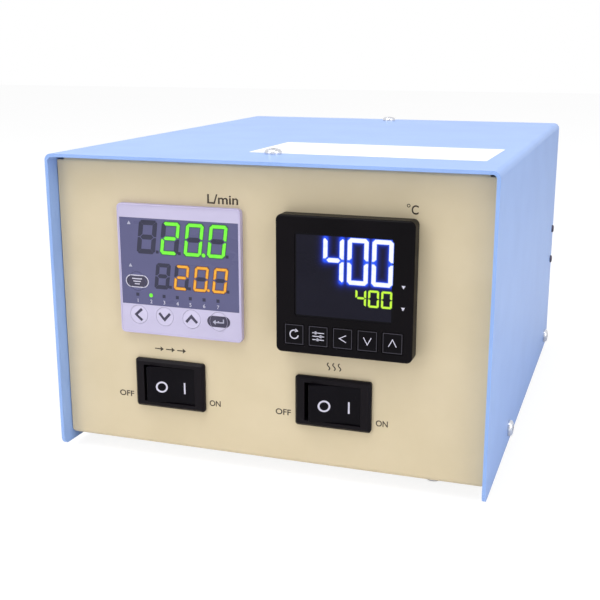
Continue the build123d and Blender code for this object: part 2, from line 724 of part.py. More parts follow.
# Rocker switches
pivot_y = panel_front + pivot_depth
for switch_name, x in switches:
    with BuildPart() as housing:
        with BuildSketch(upright(panel_front)):
            with Locations((x, switch_z)):
                RectangleRounded(switch_width, switch_height, switch_corner)
        extrude(amount=switch_proud)
        chamfer(housing.faces().sort_by(Axis.Y)[0].edges(), switch_bevel)
        with BuildSketch(upright(panel_front)):
            with Locations((x, switch_z)):
                Rectangle(switch_body_width, switch_body_height)
        extrude(amount=-switch_body_depth)
        with BuildSketch(upright(panel_front - switch_proud)):
            with Locations((x, switch_z)):
                Rectangle(switch_mouth_width, switch_mouth_height)
        extrude(amount=-(switch_proud + switch_mouth_depth), mode=Mode.SUBTRACT)
        with Locations((x, pivot_y, switch_z)):
            Cylinder(
                pivot_radius + pivot_gap,
                switch_mouth_height + 2 * (pivot_length + pivot_gap),
                mode=Mode.SUBTRACT,
            )
        # Sprung ears that catch behind the panel
        with BuildSketch(Plane.XY.offset(switch_z - snap_ear_height / 2)):
            for side in (-1, 1):
                with BuildLine():
                    Polyline(
                        (x + side * switch_body_width / 2, panel_back + snap_ear_length),
                        (x + side * (switch_body_width / 2 + snap_ear), panel_back + cutout_gap),
                        (x + side * switch_body_width / 2, panel_back + cutout_gap),
                        close=True,
                    )
                make_face()
        extrude(amount=snap_ear_height)
    housing.part.label = f"{switch_name}_housing"
    export_step(housing.part, f"parts/{switch_name}_housing.step")

    # The rocker stands with its right half pressed in
    level_plane = Plane((x, pivot_y, switch_z), x_dir=(1, 0, 0), z_dir=(0, 0, 1))
    rocker_plane = level_plane.rotated((0, 0, rocker_tilt))
    half_rocker = rocker_width / 2
    with BuildPart() as rocker:
        with BuildSketch(rocker_plane.offset(-rocker_height / 2)):
            with BuildLine():
                ThreePointArc(
                    (-half_rocker, -rocker_front),
                    (0, rocker_dish - rocker_front),
                    (half_rocker, -rocker_front),
                )
                Polyline(
                    (half_rocker, -rocker_front),
                    (half_rocker, -rocker_shoulder),
                    (rocker_back_width / 2, rocker_back),
                    (-rocker_back_width / 2, rocker_back),
                    (-half_rocker, -rocker_shoulder),
                    (-half_rocker, -rocker_front),
                )
            make_face()
        extrude(amount=rocker_height)
        fillet(rocker.faces().sort_by(Axis.Y)[0].edges().filter_by(Axis.Z), rocker_edge)
        with Locations(rocker_plane):
            Cylinder(pivot_radius, rocker_height + 2 * pivot_length)
    rocker.part.label = f"{switch_name}_rocker"
    export_step(rocker.part, f"parts/{switch_name}_rocker.step")

with BuildPart() as switch_blades:
    with BuildSketch(upright(panel_front + switch_body_depth)):
        with Locations(*[(x, switch_z) for _, x in switches]):
            with GridLocations(blade_pitch, 0, blade_count, 1):
                Rectangle(blade_thickness, blade_width)
    extrude(amount=-blade_length)
switch_blades.part.label = "switch_blades"
export_step(switch_blades.part, "parts/switch_blades.step")

# Gas block on its bracket, with the valve and the sensor housing on top
block_y = (block_front + block_rear) / 2
with BuildPart() as block_bracket:
    with BuildSketch(upright(block_front + bracket_inset)):
        with BuildLine():
            FilletPolyline(
                (inlet_x - block_width / 2 + bracket_foot, floor_top),
                (inlet_x - block_width / 2, floor_top),
                (inlet_x - block_width / 2, block_low),
                (inlet_x + block_width / 2, block_low),
                (inlet_x + block_width / 2, floor_top),
                (inlet_x + block_width / 2 - bracket_foot, floor_top),
                radius=bracket_bend,
            )
            offset(amount=bracket_sheet, side=Side.RIGHT)
        make_face()
    extrude(amount=2 * bracket_inset - block_length)
block_bracket.part.label = "block_bracket"
export_step(block_bracket.part, "parts/block_bracket.step")

with BuildPart() as gas_block:
    with BuildSketch(Plane.XY.offset(block_low)):
        with Locations((inlet_x, block_y)):
            Rectangle(block_width, block_length)
    extrude(amount=block_height)
    chamfer(gas_block.edges().filter_by(Axis.Y), block_edge)
    with BuildSketch(upright(block_front)):
        with Locations((inlet_x, gas_height)):
            Circle(port_radius + thread_gap)
    extrude(amount=-port_depth, mode=Mode.SUBTRACT)
    with BuildSketch(upright(block_rear)):
        with Locations((inlet_x, gas_height)):
            Circle(port_radius + thread_gap)
    extrude(amount=port_depth, mode=Mode.SUBTRACT)
gas_block.part.label = "gas_block"
export_step(gas_block.part, "parts/gas_block.step")

with BuildPart() as valve:
    with BuildSketch(Plane.XY.offset(block_top)):
        with Locations((inlet_x, valve_y)):
            Circle(valve_radius)
    extrude(amount=valve_height)
    fillet(valve.edges().group_by(Axis.Z)[-1], valve_edge)
    with BuildSketch(Plane.XY.offset(block_top)):
        with Locations((inlet_x, valve_y)):
            Rectangle(valve_base, valve_base)
    extrude(amount=valve_base_height)
valve.part.label = "valve"
export_step(valve.part, "parts/valve.step")

with BuildPart() as sensor_housing:
    with BuildSketch(Plane.XY.offset(block_top)):
        with Locations((inlet_x, block_rear - sensor_length / 2 - port_radius)):
            RectangleRounded(sensor_width, sensor_length, flow_corner)
    extrude(amount=sensor_height)
    fillet(sensor_housing.edges().group_by(Axis.Z)[-1], flow_corner / 2)
sensor_housing.part.label = "sensor_housing"
export_step(sensor_housing.part, "parts/sensor_housing.step")

# Unions screwed into the block: hexagon, clamp nut and a socket for the tube
for union_name, face, outward in (("inlet_union", block_rear, 1), ("outlet_union", block_front, -1)):
    with BuildPart() as union:
        with BuildSketch(upright(face)):
            with Locations((inlet_x, gas_height)):
                RegularPolygon(union_hex / 2, 6, major_radius=False)
        extrude(amount=-outward * union_length)
        with BuildSketch(upright(face + outward * union_length)):
            with Locations((inlet_x, gas_height)):
                RegularPolygon(nut_hex / 2, 6, major_radius=False)
        extrude(amount=-outward * nut_length)
        with BuildSketch(upright(face)):
            with Locations((inlet_x, gas_height)):
                Circle(port_radius)
        extrude(amount=outward * port_depth)
        with BuildSketch(upright(face + outward * union_end)):
            with Locations((inlet_x, gas_height)):
                Circle(tube_radius + tube_gap)
        extrude(amount=outward * socket_depth, mode=Mode.SUBTRACT)
        with BuildSketch(upright(face + outward * union_end)):
            with Locations((inlet_x, gas_height)):
                Circle(tube_bore)
        extrude(amount=outward * (union_end + port_depth), mode=Mode.SUBTRACT)
    union.part.label = union_name
    export_step(union.part, f"parts/{union_name}.step")

# Tubes from the unions to the rear bulkheads
tube_start = union_end - socket_depth
tube_end = rear_inside - fitting_inside + socket_depth
turn_front = block_front + tube_radius - tube_reach
for tube_name, route in (
    ("inlet_tube", ((inlet_x, block_rear + tube_start), (inlet_x, tube_end))),
    (
        "outlet_tube",
        (
            (inlet_x, block_front - tube_start),
            (inlet_x, turn_front),
            (outlet_x, turn_front),
            (outlet_x, tube_end),
        ),
    ),
):
    with BuildPart() as tube:
        with BuildLine() as centre_line:
            if len(route) == 2:
                Line(*[(x, y, gas_height) for x, y in route])
            else:
                FilletPolyline(*[(x, y, gas_height) for x, y in route], radius=tube_bend)
        with BuildSketch(Plane(centre_line.line @ 0, z_dir=centre_line.line % 0)):
            Circle(tube_radius)
            Circle(tube_bore, mode=Mode.SUBTRACT)
        sweep(path=centre_line.line)
    tube.part.label = tube_name
    export_step(tube.part, f"parts/{tube_name}.step")

# Bulkheads through the rear panel, open at the rear for a tube of the same size
for bulkhead_name, x in (("inlet_bulkhead", inlet_x), ("outlet_bulkhead", outlet_x)):
    with BuildPart() as bulkhead:
        with BuildSketch(Plane((x, rear_face, gas_height), x_dir=(1, 0, 0), z_dir=(0, 0, 1))):
            with BuildLine():
                Polyline(
                    (0, -sheet - fitting_inside),
                    (fitting_thread - fitting_relief, -sheet - fitting_inside),
                    (fitting_thread - fitting_relief, -sheet),
                    (fitting_thread, -sheet),
                    (fitting_thread, fitting_reach - fitting_head_length),
                    (fitting_head, fitting_reach - fitting_head_length + fitting_chamfer),
                    (fitting_head, fitting_reach - fitting_chamfer),
                    (fitting_head - fitting_chamfer, fitting_reach),
                    (0, fitting_reach),
                    close=True,
                )
            make_face()
        revolve(axis=Axis((x, rear_face, gas_height), (0, 1, 0)))
        with BuildSketch(upright(rear_inside)):
            with Locations((x, gas_height)):
                RegularPolygon(fitting_hex / 2, 6, major_radius=False)
        extrude(amount=fitting_hex_length)
        with BuildSketch(upright(rear_inside - fitting_inside)):
            with Locations((x, gas_height)):
                Circle(tube_radius + tube_gap)
        extrude(amount=-socket_depth, mode=Mode.SUBTRACT)
        with BuildSketch(upright(rear_face + fitting_reach)):
            with Locations((x, gas_height)):
                Circle(tube_radius + tube_gap)
        extrude(amount=socket_depth, mode=Mode.SUBTRACT)
        with BuildSketch(upright(rear_face + fitting_reach)):
            with Locations((x, gas_height)):
                Circle(tube_bore)
        extrude(amount=fitting_reach + sheet + fitting_inside, mode=Mode.SUBTRACT)
    bulkhead.part.label = bulkhead_name
    export_step(bulkhead.part, f"parts/{bulkhead_name}.step")

with BuildPart() as bulkhead_nuts:
    with BuildSketch(upright(rear_face)):
        with Locations((inlet_x, gas_height), (outlet_x, gas_height)):
            RegularPolygon(fitting_hex / 2, 6, major_radius=False)
            Circle(fitting_thread + thread_gap, mode=Mode.SUBTRACT)
    extrude(amount=-fitting_nut_length)
bulkhead_nuts.part.label = "bulkhead_nuts"
export_step(bulkhead_nuts.part, "parts/bulkhead_nuts.step")

# Mains inlet with its three pins
with BuildPart() as mains_inlet:
    with BuildSketch(upright(rear_face)):
        with Locations((mains_x, mains_z)):
            RectangleRounded(mains_flange_width, mains_flange_height, mains_flange)
    extrude(amount=-mains_flange)
    fillet(mains_inlet.faces().sort_by(Axis.Y)[-1].edges(), mains_edge)
    with BuildSketch(upright(rear_face)):
        with Locations((mains_x, mains_z)):
            Rectangle(mains_body_width, mains_body_height)
    extrude(amount=mains_socket_depth + mains_wall - mains_flange)
    with BuildSketch(upright(mains_face)) as socket_mouth:
        with Locations((mains_x, mains_z)):
            Rectangle(mains_socket_width, mains_socket_height)
        chamfer(socket_mouth.vertices().group_by(Axis.Z)[-1], mains_earth_rise)
    extrude(amount=mains_socket_depth, mode=Mode.SUBTRACT)
    with BuildSketch(upright(mains_face)):
        with Locations((mains_x, mains_z)):
            with GridLocations(mains_screw_pitch, 0, 2, 1):
                Circle(screw_shank + hole_gap)
    extrude(amount=mains_flange, mode=Mode.SUBTRACT)
    pin_places = (
        (mains_x - mains_pin_spread, mains_z),
        (mains_x + mains_pin_spread, mains_z),
        (mains_x, mains_z + mains_earth_rise),
    )
    with BuildSketch(upright(mains_face)):
        with Locations(*pin_places):
            Rectangle(mains_pin_thickness + 2 * tube_gap, mains_pin_width + 2 * tube_gap)
    extrude(amount=mains_socket_depth + mains_wall, mode=Mode.SUBTRACT)
mains_inlet.part.label = "mains_inlet"
export_step(mains_inlet.part, "parts/mains_inlet.step")

with BuildPart() as mains_pins:
    with BuildSketch(upright(pin_back)):
        with Locations(*pin_places):
            Rectangle(mains_pin_thickness, mains_pin_width)
    extrude(amount=-(mains_tab + mains_wall + mains_pin_length))
    fillet(mains_pins.faces().group_by(Axis.Y)[-1].edges(), mains_pin_edge)
mains_pins.part.label = "mains_pins"
export_step(mains_pins.part, "parts/mains_pins.step")

with BuildPart() as mains_screws:
    for side in (-1, 1):
        place = (mains_x + side * mains_screw_pitch / 2, mains_face, mains_z)
        with Locations(Plane(place, x_dir=(1, 0, 0), z_dir=(0, 1, 0))):
            add(pan_screw)
mains_screws.part.label = "mains_screws"
export_step(mains_screws.part, "parts/mains_screws.step")

# Fuse holder and its cap
fuse_cap_low = rear_face - fuse_cap_length + fuse_flange
with BuildPart() as fuse_holder:
    with BuildSketch(upright(rear_face)):
        with Locations((fuse_x, mains_z)):
            Circle(fuse_flange_radius)
    extrude(amount=-fuse_flange)
    with BuildSketch(upright(rear_face)):
        with Locations((fuse_x, mains_z)):
            Circle(fuse_radius)
    extrude(amount=fuse_length)
    with BuildSketch(upright(rear_face + fuse_flange)):
        with Locations((fuse_x, mains_z)):
            Circle(fuse_cap_radius + tube_gap)
    extrude(amount=fuse_cap_length, mode=Mode.SUBTRACT)
fuse_holder.part.label = "fuse_holder"
export_step(fuse_holder.part, "parts/fuse_holder.step")

with BuildPart() as fuse_cap:
    with BuildSketch(upright(fuse_cap_low)):
        with Locations((fuse_x, mains_z)):
            Circle(fuse_cap_radius)
    extrude(amount=-(fuse_cap_length + fuse_flange))
    fillet(fuse_cap.edges().group_by(Axis.Y)[-1], fuse_slot / 2)
    with BuildSketch(upright(fuse_cap_low + fuse_cap_length + fuse_flange)):
        with Locations((fuse_x, mains_z)):
            Rectangle(2 * fuse_cap_radius, fuse_slot)
    extrude(amount=fuse_slot, mode=Mode.SUBTRACT)
fuse_cap.part.label = "fuse_cap"
export_step(fuse_cap.part, "parts/fuse_cap.step")

# Round heater socket with its pins in an insert
heater_mouth = rear_face + heater_flange + heater_ring_length
with BuildPart() as heater_socket:
    for base, radius, length in (
        (rear_face, heater_flange_radius, -heater_flange),
        (rear_face + heater_flange, heater_ring_radius, -heater_ring_length),
        (rear_face, heater_barrel_radius, heater_barrel_length),
    ):
        with BuildSketch(upright(base)):
            with Locations((heater_socket_x, heater_socket_z)):
                Circle(radius)
        extrude(amount=length)
    fillet(heater_socket.edges().group_by(Axis.Y)[-1], heater_edge)
    with BuildSketch(upright(heater_mouth)):
        with Locations((heater_socket_x, heater_socket_z)):
            Circle(heater_socket_radius)
    extrude(amount=heater_socket_depth, mode=Mode.SUBTRACT)
heater_socket.part.label = "heater_socket"
export_step(heater_socket.part, "parts/heater_socket.step")

heater_insert = heater_mouth - heater_socket_depth
with BuildPart() as heater_contacts:
    with BuildSketch(upright(heater_insert)):
        with Locations((heater_socket_x, heater_socket_z)):
            with PolarLocations(heater_pin_circle, heater_pins, start_angle=heater_pin_turn):
                Circle(heater_pin_radius)
    extrude(amount=-heater_pin_length)
    fillet(heater_contacts.edges().group_by(Axis.Y)[-1], heater_pin_edge)
heater_contacts.part.label = "heater_contacts"
export_step(heater_contacts.part, "parts/heater_contacts.step")

# Flat two-slot socket of the temperature sensor
with BuildPart() as sensor_socket:
    with BuildSketch(upright(rear_face)):
        with Locations((sensor_socket_x, heater_socket_z)):
            RectangleRounded(sensor_flange_width, sensor_flange_height, sensor_flange)
    extrude(amount=-sensor_flange)
    with BuildSketch(upright(rear_face)):
        with Locations((sensor_socket_x, heater_socket_z)):
            Rectangle(sensor_body_width, sensor_body_height)
    extrude(amount=sensor_body_depth)
    with BuildSketch(upright(rear_face + sensor_flange)):
        with Locations((sensor_socket_x - sensor_slot_pitch / 2, heater_socket_z)):
            Rectangle(sensor_wide_slot, sensor_slot)
        with Locations((sensor_socket_x + sensor_slot_pitch / 2, heater_socket_z)):
            Rectangle(sensor_narrow_slot, sensor_slot)
    extrude(amount=sensor_slot_depth, mode=Mode.SUBTRACT)
sensor_socket.part.label = "sensor_socket"
export_step(sensor_socket.part, "parts/sensor_socket.step")

# Supply in its vented case, with a terminal row at the front end
with BuildPart() as supply_case:
    with BuildSketch(Plane.XY.offset(floor_top)):
        with Locations((supply_x, supply_y)):
            Rectangle(supply_width, supply_length)
    extrude(amount=supply_height)
    fillet(supply_case.edges().filter_by(Axis.Y).group_by(Axis.Z)[-1], supply_bend)
    with BuildSketch(Plane.XY.offset(floor_top + supply_height)):
        with Locations((supply_x, supply_y)):
            with GridLocations(supply_pitch_x, supply_pitch_y, supply_slot_columns, supply_slot_rows):
                SlotOverall(supply_slot, supply_slot_width)
    extrude(amount=-supply_slot_depth, mode=Mode.SUBTRACT)
supply_case.part.label = "supply_case"
export_step(supply_case.part, "parts/supply_case.step")

with BuildPart() as supply_terminals:
    with BuildSketch(Plane.XY.offset(floor_top)):
        with Locations((supply_x, supply_terminal_y)):
            Rectangle(supply_terminal_width, supply_terminal_length)
    extrude(amount=supply_terminal_height)
    with BuildSketch(Plane.XY.offset(floor_top + supply_terminal_height)):
        with Locations((supply_x, supply_terminal_y)):
            with GridLocations(supply_way_pitch, 0, supply_ways, 1):
                Rectangle(supply_way, supply_terminal_length)
    extrude(amount=-supply_way_depth, mode=Mode.SUBTRACT)
supply_terminals.part.label = "supply_terminals"
export_step(supply_terminals.part, "parts/supply_terminals.step")

# Relay on a finned heat sink
with BuildPart() as relay_sink:
    with BuildSketch(upright(relay_y - sink_length / 2)):
        with Locations((relay_x, sink_top - sink_base / 2)):
            Rectangle(sink_width, sink_base)
        with Locations((relay_x, floor_top + sink_height / 2)):
            with GridLocations((sink_width - sink_fin) / (sink_fins - 1), 0, sink_fins, 1):
                Rectangle(sink_fin, sink_height)
    extrude(amount=-sink_length)
relay_sink.part.label = "relay_sink"
export_step(relay_sink.part, "parts/relay_sink.step")

with BuildPart() as relay:
    with BuildSketch(Plane.XY.offset(sink_top)):
        with Locations((relay_x, relay_y)):
            RectangleRounded(relay_width, relay_length, relay_corner)
    extrude(amount=relay_height)
    fillet(relay.edges().group_by(Axis.Z)[-1], relay_edge)
    with BuildSketch(Plane.XY.offset(sink_top + relay_height)):
        with Locations((relay_x, relay_y)):
            with GridLocations(relay_width - 2 * relay_well_side, relay_length - 2 * relay_well_end, 2, 2):
                RectangleRounded(relay_well_width, relay_well_length, relay_edge)
    extrude(amount=-relay_well_depth, mode=Mode.SUBTRACT)
relay.part.label = "relay"
export_step(relay.part, "parts/relay.step")
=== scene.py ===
"""Finish, print and lighting of a bench-top controller for a gas flow and a heater."""

import json
import logging
import math
from collections.abc import Iterable
from dataclasses import dataclass, field
from enum import Enum
from typing import ClassVar

import bmesh
import bpy
from mathutils import Matrix, Vector
from mathutils.bvhtree import BVHTree

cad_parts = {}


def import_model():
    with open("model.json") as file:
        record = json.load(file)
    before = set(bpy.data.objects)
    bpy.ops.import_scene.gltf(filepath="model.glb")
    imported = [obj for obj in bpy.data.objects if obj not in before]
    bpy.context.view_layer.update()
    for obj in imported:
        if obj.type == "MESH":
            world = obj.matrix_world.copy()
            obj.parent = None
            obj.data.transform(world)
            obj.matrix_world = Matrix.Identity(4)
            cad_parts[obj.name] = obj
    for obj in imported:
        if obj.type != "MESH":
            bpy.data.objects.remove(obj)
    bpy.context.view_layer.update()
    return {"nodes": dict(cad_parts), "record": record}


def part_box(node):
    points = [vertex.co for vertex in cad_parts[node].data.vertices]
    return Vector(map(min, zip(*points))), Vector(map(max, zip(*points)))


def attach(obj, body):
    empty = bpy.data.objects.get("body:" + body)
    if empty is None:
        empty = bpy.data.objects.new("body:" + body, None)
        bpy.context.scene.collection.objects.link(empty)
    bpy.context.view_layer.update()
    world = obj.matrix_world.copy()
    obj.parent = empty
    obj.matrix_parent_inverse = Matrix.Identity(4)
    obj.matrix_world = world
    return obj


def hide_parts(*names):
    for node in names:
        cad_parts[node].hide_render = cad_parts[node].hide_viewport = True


MM = 0.001
BEND_STEP = 0.6         # the distance between the cuts that let a print bend, in millimetres
RAY_START = 50          # how far ahead of a face the search for it starts, in millimetres
RIGHT, REAR, UP = Vector((1, 0, 0)), Vector((0, 1, 0)), Vector((0, 0, 1))
log = logging.getLogger("controller")

Colour = tuple[int, int, int]
Point = tuple[float, float]
Place = tuple[float, float, float]
Socket = bpy.types.NodeSocket
Object = bpy.types.Object
Shape = bmesh.types.BMesh
Corner = bmesh.types.BMVert


def linear(colour: Colour) -> tuple[float, float, float, float]:
    """Turns a screen colour, 0 to 255, into the linear colour and alpha that a shader takes."""
    parts = [c / 255 for c in colour]
    return tuple(c / 12.92 if c <= 0.04045 else ((c + 0.055) / 1.055) ** 2.4 for c in parts) + (1.0,)


class Tree:
    """A node tree, filled one node at a time."""

    def __init__(self, owner: bpy.types.Material | bpy.types.World, output: str) -> None:
        """Starts the tree of a material or a world, whose output node has the given name."""
        owner.use_nodes = True
        self.tree = owner.node_tree
        self.surface_socket = self.tree.nodes[output].inputs["Surface"]

    def add(self, kind: str, values: dict | None = None, **settings: object) -> bpy.types.Node:
        """Adds a node, sets its properties, and links or sets its sockets.

        Args:
            kind: Blender's name of the node type, after "ShaderNode".
            values: what goes into each input, a number or another node's output.
            settings: the node's own properties.

        Returns:
            The new node.
        """
        node = self.tree.nodes.new("ShaderNode" + kind)
        for key, value in settings.items():
            setattr(node, key, value)
        for key, value in (values or {}).items():
            self.feed(node.inputs[key], value)
        return node

    def feed(self, socket: Socket, value: object) -> None:
        """Links a socket to an output, or sets its number."""
        if isinstance(value, Socket):
            self.tree.links.new(value, socket)
        else:
            socket.default_value = value

    def mixed(self, share: Socket, first: bpy.types.Node, second: bpy.types.Node) -> None:
        """Sends a mix of two shaders to the output; a share of 1 shows the second one alone."""
        mix = self.add("MixShader", {0: share, 1: first.outputs[0], 2: second.outputs[0]})
        self.feed(self.surface_socket, mix.outputs[0])


class Nodes(Tree):
    """A material's node tree, with one surface shader."""

    def __init__(self, name: str) -> None:
        """Starts a new material."""
        self.material = bpy.data.materials.new(name)
        super().__init__(self.material, "Material Output")
        self.shader = self.tree.nodes["Principled BSDF"]
        self.place = self.add("TexCoord").outputs["Object"]

    def surface(self, **values: object) -> None:
        """Feeds the shader's sockets, named with underscores for spaces."""
        for key, value in values.items():
            self.feed(self.shader.inputs[key.replace("_", " ")], value)

    def noise(self, grain: float, detail: float, stretch: Vector | None = None) -> Socket:
        """Gives a noise pattern on object coordinates.

        Args:
            grain: the size of its spots, in millimetres.
            detail: how many finer layers it has.
            stretch: how much longer the spots are along each axis.

        Returns:
            The pattern, 0 to 1.
        """
        place = self.place
        if stretch is not None:
            scale = [1 / s for s in stretch]
            place = self.add("Mapping", {"Vector": place, "Scale": scale}).outputs["Vector"]
        values = {"Vector": place, "Scale": 1 / (grain * MM), "Detail": detail}
        return self.add("TexNoise", values).outputs["Fac"]

    def ramp(self, source: Socket, stops: tuple[tuple[float, Colour], ...]) -> Socket:
        """Turns a pattern into colours; each stop is a place along it with its colour."""
        node = self.add("ValToRGB", {"Fac": source})
        elements = node.color_ramp.elements
        while len(elements) < len(stops):
            elements.new(0.5)
        for element, (position, colour) in zip(elements, stops):
            element.position = position
            element.color = linear(colour)
        return node.outputs["Color"]

    def spread(self, source: Socket, low: float, high: float) -> Socket:
        """Maps the middle of a pattern to a span of numbers."""
        values = {"Value": source, "From Min": 0.3, "From Max": 0.7, "To Min": low, "To Max": high}
        return self.add("MapRange", values).outputs["Result"]

    def bump(self, height: Socket, depth: float, below: Socket | None = None) -> Socket:
        """Makes a relief of a pattern, its depth in millimetres, on another relief if there is one."""
        values = {"Height": height, "Distance": depth * MM, "Strength": 1.0}
        if below is not None:
            values["Normal"] = below
        return self.add("Bump", values).outputs["Normal"]


@dataclass(frozen=True)
class Finish:
    """A surface finish: two near tones, a sheen and a fine relief."""

    name: str
    tone: Colour
    shade: Colour
    rough: float = 0.5
    grain: float = 0.5          # size of the fine relief, in millimetres
    depth: float = 0.005        # its depth
    shine: float = 0.5          # specular level
    patch: ClassVar[float] = 22.0       # size of the patches of tone
    sheen: ClassVar[tuple[float, float]] = (-0.04, 0.05)        # how far the roughness strays

    def material(self) -> bpy.types.Material:
        """Returns this finish's material, made once."""
        name = self.name + "_finish"
        ready = bpy.data.materials.get(name)
        if ready is None:
            nodes = Nodes(name)
            self.fill(nodes)
            ready = nodes.material
        return ready

    def uneven(self, nodes: Nodes, pattern: Socket) -> Socket:
        """Gives the roughness, which strays with a pattern."""
        low, high = self.sheen
        return nodes.spread(pattern, self.rough + low, self.rough + high)

    def tones(self, nodes: Nodes, pattern: Socket, low: float = 0.3, high: float = 0.7) -> Socket:
        """Gives the colour: the shade below one level of a pattern, the tone above another."""
        return nodes.ramp(pattern, ((low, self.shade), (high, self.tone)))

    def fill(self, nodes: Nodes) -> None:
        """Fills the node tree: soft patches of tone, uneven sheen and grain."""
        patches = nodes.noise(self.patch, 4.0)
        fine = nodes.noise(self.grain, 4.0)
        nodes.surface(
            Base_Color=self.tones(nodes, patches, 0.35, 0.65),
            Roughness=self.uneven(nodes, fine),
            Normal=nodes.bump(fine, self.depth),
            Specular_IOR_Level=self.shine,
        )


@dataclass(frozen=True)
class Paint(Finish):
    """Baked enamel on sheet steel: a slight orange peel under a satin coat."""

    peel: ClassVar[float] = 1.6         # size of the orange peel, in millimetres
    peel_depth: ClassVar[float] = 0.012
    coat: ClassVar[float] = 0.04
    coat_rough: ClassVar[float] = 0.22

    def fill(self, nodes: Nodes) -> None:
        """Adds orange peel and the coat to the plain finish."""
        super().fill(nodes)
        waves = nodes.bump(nodes.noise(self.peel, 1.0), self.peel_depth)
        specks = nodes.bump(nodes.noise(self.grain, 2.0), self.depth, waves)
        nodes.surface(Normal=specks, Coat_Weight=self.coat, Coat_Roughness=self.coat_rough)


@dataclass(frozen=True)
class Metal(Finish):
    """Bare or plated metal."""

    sheen: ClassVar[tuple[float, float]] = (-0.07, 0.08)

    def fill(self, nodes: Nodes) -> None:
        """Fills the node tree with fine marks in tone, sheen and relief."""
        marks = nodes.noise(self.grain, 5.0)
        nodes.surface(
            Base_Color=self.tones(nodes, marks),
            Metallic=1.0,
            Roughness=self.uneven(nodes, marks),
            Normal=nodes.bump(marks, self.depth),
        )


@dataclass(frozen=True)
class Gloss(Finish):
    """A glossy window or film, with faint wipe marks in its sheen."""

    coat: float = 0.6
    wipe: ClassVar[float] = 9.0         # size of the wipe marks, in millimetres
    wipe_run: ClassVar[Place] = (3.0, 1.0, 1.0)
    coat_rough: ClassVar[float] = 0.06

    def top(self, nodes: Nodes) -> dict[str, object]:
        """Gives what lies on the film: a fine relief under a clear coat."""
        relief = nodes.bump(nodes.noise(self.grain, 2.0), self.depth)
        return {"Normal": relief, "Coat_Weight": self.coat, "Coat_Roughness": self.coat_rough}

    def fill(self, nodes: Nodes) -> None:
        """Fills the node tree with wipe marks, faint in the colour."""
        wipes = nodes.noise(self.wipe, 5.0, Vector(self.wipe_run))
        nodes.surface(
            Base_Color=self.tones(nodes, wipes),
            Roughness=self.uneven(nodes, wipes),
            Specular_IOR_Level=self.shine,
            **self.top(nodes),
        )


@dataclass(frozen=True)
class Lamp(Finish):
    """Light that comes through a segment or a pilot, a little uneven; the dimmer lamps drawn around the lit
    strokes are a painted halo of their light.
    """

    rough: float = 0.4
    power: float = 1.0
    unlit: Colour = (24, 24, 24)
    cell: ClassVar[float] = 1.3         # size of its spots, in millimetres

    def fill(self, nodes: Nodes) -> None:
        """Fills the node tree with a glow that varies over the segment."""
        cells = self.tones(nodes, nodes.noise(self.cell, 2.0), 0.25, 0.55)
        nodes.surface(
            Base_Color=linear(self.unlit), Roughness=self.rough, Emission_Color=cells,
            Emission_Strength=self.power,
        )


@dataclass(frozen=True)
class Glow(Gloss):
    """A dark window that lights up close to the lit segments, by the mesh's own measure of light."""

    halo: Colour = (0, 0, 255)
    deep: Colour = (0, 0, 90)
    deep_level: ClassVar[float] = 0.35
    measure: ClassVar[str] = "nearness"

    def top(self, nodes: Nodes) -> dict[str, object]:
        """Gives the light, bright where the measure is high, in place of relief and coat."""
        light = nodes.add("Attribute", attribute_name=self.measure).outputs["Fac"]
        stops = ((0.0, (0, 0, 0)), (self.deep_level, self.deep), (1.0, self.halo))
        return {"Emission_Color": nodes.ramp(light, stops), "Emission_Strength": 1.0}


